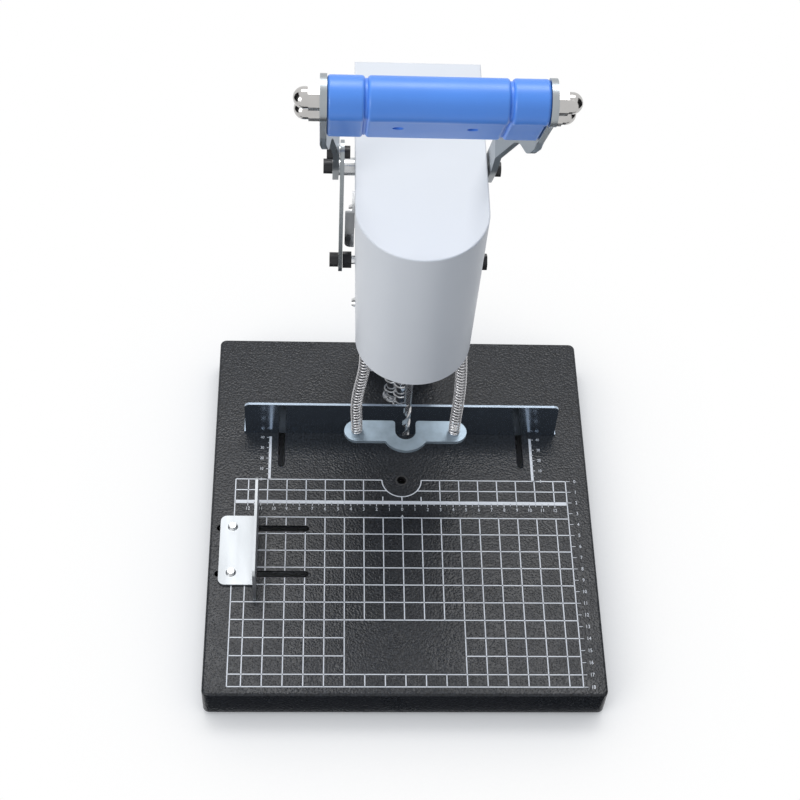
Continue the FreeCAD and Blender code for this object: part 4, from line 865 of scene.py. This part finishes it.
class PAPERDRILL_OT_stage(bpy.types.Operator):
    """Floor, lamps, world and camera"""
    bl_idname = "paperdrill.stage"
    bl_label = "Stage"

    def execute(self, context):
        own = context.scene.stage_settings
        bpy.ops.mesh.primitive_plane_add(size=8.0, location=(0, 0, -0.0005))
        floor = bpy.context.object
        floor.name = "studio_floor"
        settle(floor)
        floor.data.materials.append(self.floor_paint(own))
        area_lamp("key_lamp", (-0.02, 0.72, 1.75), (0, 0.05, 0.1), (1.3, 0.62), own.key_power)
        area_lamp("left_lamp", (-1.3, -1.1, 0.9), (0, 0, 0.2), (1.1, 1.1), own.key_power * 0.86)
        black_flag("left_flag", (-0.9, -0.05, 0.6), 90, (1.1, 0.9))
        black_flag("right_flag", (0.9, -0.05, 0.6), 90, (1.1, 0.9))
        black_flag("front_flag", (0.0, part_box("base_tray")[0][1] - 0.052, 0.002), 0, (0.7, 0.1))
        self.make_world(context)
        self.make_camera(context, own)
        context.scene.view_settings.view_transform = "Standard"
        return {"FINISHED"}

    def floor_paint(self, own):
        """White where the floor is seen, a plain grey for the light that it returns.

        The object's shadow stays: near it the floor shows its paint instead of the white.
        """
        material, tree, shader = new_tree("studio_floor_paint")
        shader.inputs["Roughness"].default_value = 0.9
        shader.inputs["Specular IOR Level"].default_value = 0.0
        seen = background_rays(tree)
        paint = blended(tree, seen, colour_of(own.floor_colour, 0.4), colour_of(own.floor_colour))
        link(tree, paint, shader.inputs["Base Color"])
        white = tree.nodes.new("ShaderNodeEmission")
        open_floor = tree.nodes.new("ShaderNodeAmbientOcclusion")
        open_floor.inputs["Distance"].default_value = 0.12
        share = arithmetic(tree, "POWER", open_floor.outputs["AO"], 2.5)
        lift = arithmetic(tree, "MULTIPLY", share, seen)
        blend = tree.nodes.new("ShaderNodeMixShader")
        link(tree, lift, blend.inputs["Fac"])
        link(tree, shader.outputs["BSDF"], blend.inputs[1])
        link(tree, white.outputs["Emission"], blend.inputs[2])
        link(tree, blend.outputs["Shader"], tree.nodes["Material Output"].inputs["Surface"])
        return material

    def make_world(self, context):
        """A cool sky for light, and plain white where the background shows."""
        world = bpy.data.worlds.new("studio_world")
        context.scene.world = world
        world.use_nodes = True
        tree = world.node_tree
        plain = tree.nodes["Background"]
        plain.inputs["Color"].default_value = (0.80, 0.88, 1.0, 1.0)
        plain.inputs["Strength"].default_value = 0.42
        bright = tree.nodes.new("ShaderNodeBackground")
        bright.inputs["Color"].default_value = (1.0, 1.0, 1.0, 1.0)
        bright.inputs["Strength"].default_value = 1.0
        mix = tree.nodes.new("ShaderNodeMixShader")
        link(tree, background_rays(tree), mix.inputs["Fac"])
        link(tree, plain.outputs["Background"], mix.inputs[1])
        link(tree, bright.outputs["Background"], mix.inputs[2])
        link(tree, mix.outputs["Shader"], tree.nodes["World Output"].inputs["Surface"])

    def make_camera(self, context, own):
        """The camera fitted to the printed grid of the photograph."""
        bpy.ops.object.camera_add(
            location=CAMERA_PLACE, rotation=[math.radians(degrees) for degrees in CAMERA_TURN])
        camera = bpy.context.object
        camera.name = "photo_camera"
        camera.data.sensor_width = 36.0
        camera.data.lens = own.lens
        camera.data.shift_x, camera.data.shift_y = CAMERA_SHIFT
        camera.data.clip_start = 0.01
        context.scene.camera = camera


OPERATORS = [
    PAPERDRILL_OT_table_print, PAPERDRILL_OT_presser_springs, PAPERDRILL_OT_return_springs,
    PAPERDRILL_OT_base_finish, PAPERDRILL_OT_head_finish, PAPERDRILL_OT_lever_finish,
    PAPERDRILL_OT_carriage_finish, PAPERDRILL_OT_fence_finish, PAPERDRILL_OT_stage,
]


class PAPERDRILL_PT_panel(bpy.types.Panel):
    """Lists the pieces of the paper drill"""
    bl_label = "Paper drill"
    bl_idname = "PAPERDRILL_PT_panel"
    bl_space_type = "VIEW_3D"
    bl_region_type = "UI"
    bl_category = "Paper drill"

    def draw(self, context):
        for operator in OPERATORS:
            self.layout.operator(operator.bl_idname)


SETTINGS = {
    "table_print_settings": TablePrintSettings,
    "spring_settings": SpringSettings,
    "finish_settings": FinishSettings,
    "stage_settings": StageSettings,
}
CLASSES = list(SETTINGS.values()) + OPERATORS + [PAPERDRILL_PT_panel]


def register():
    for item in CLASSES:
        bpy.utils.register_class(item)
    for name, kind in SETTINGS.items():
        setattr(bpy.types.Scene, name, bpy.props.PointerProperty(type=kind))


def unregister():
    for name in SETTINGS:
        delattr(bpy.types.Scene, name)
    for item in reversed(CLASSES):
        bpy.utils.unregister_class(item)


def main():
    register()
    bpy.ops.paperdrill.table_print()
    bpy.ops.paperdrill.presser_springs()
    bpy.ops.paperdrill.return_springs()
    bpy.ops.paperdrill.base_finish()
    bpy.ops.paperdrill.head_finish()
    bpy.ops.paperdrill.lever_finish()
    bpy.ops.paperdrill.carriage_finish()
    bpy.ops.paperdrill.fence_finish()
    bpy.ops.paperdrill.stage()


if __name__ == "__main__":
    main()
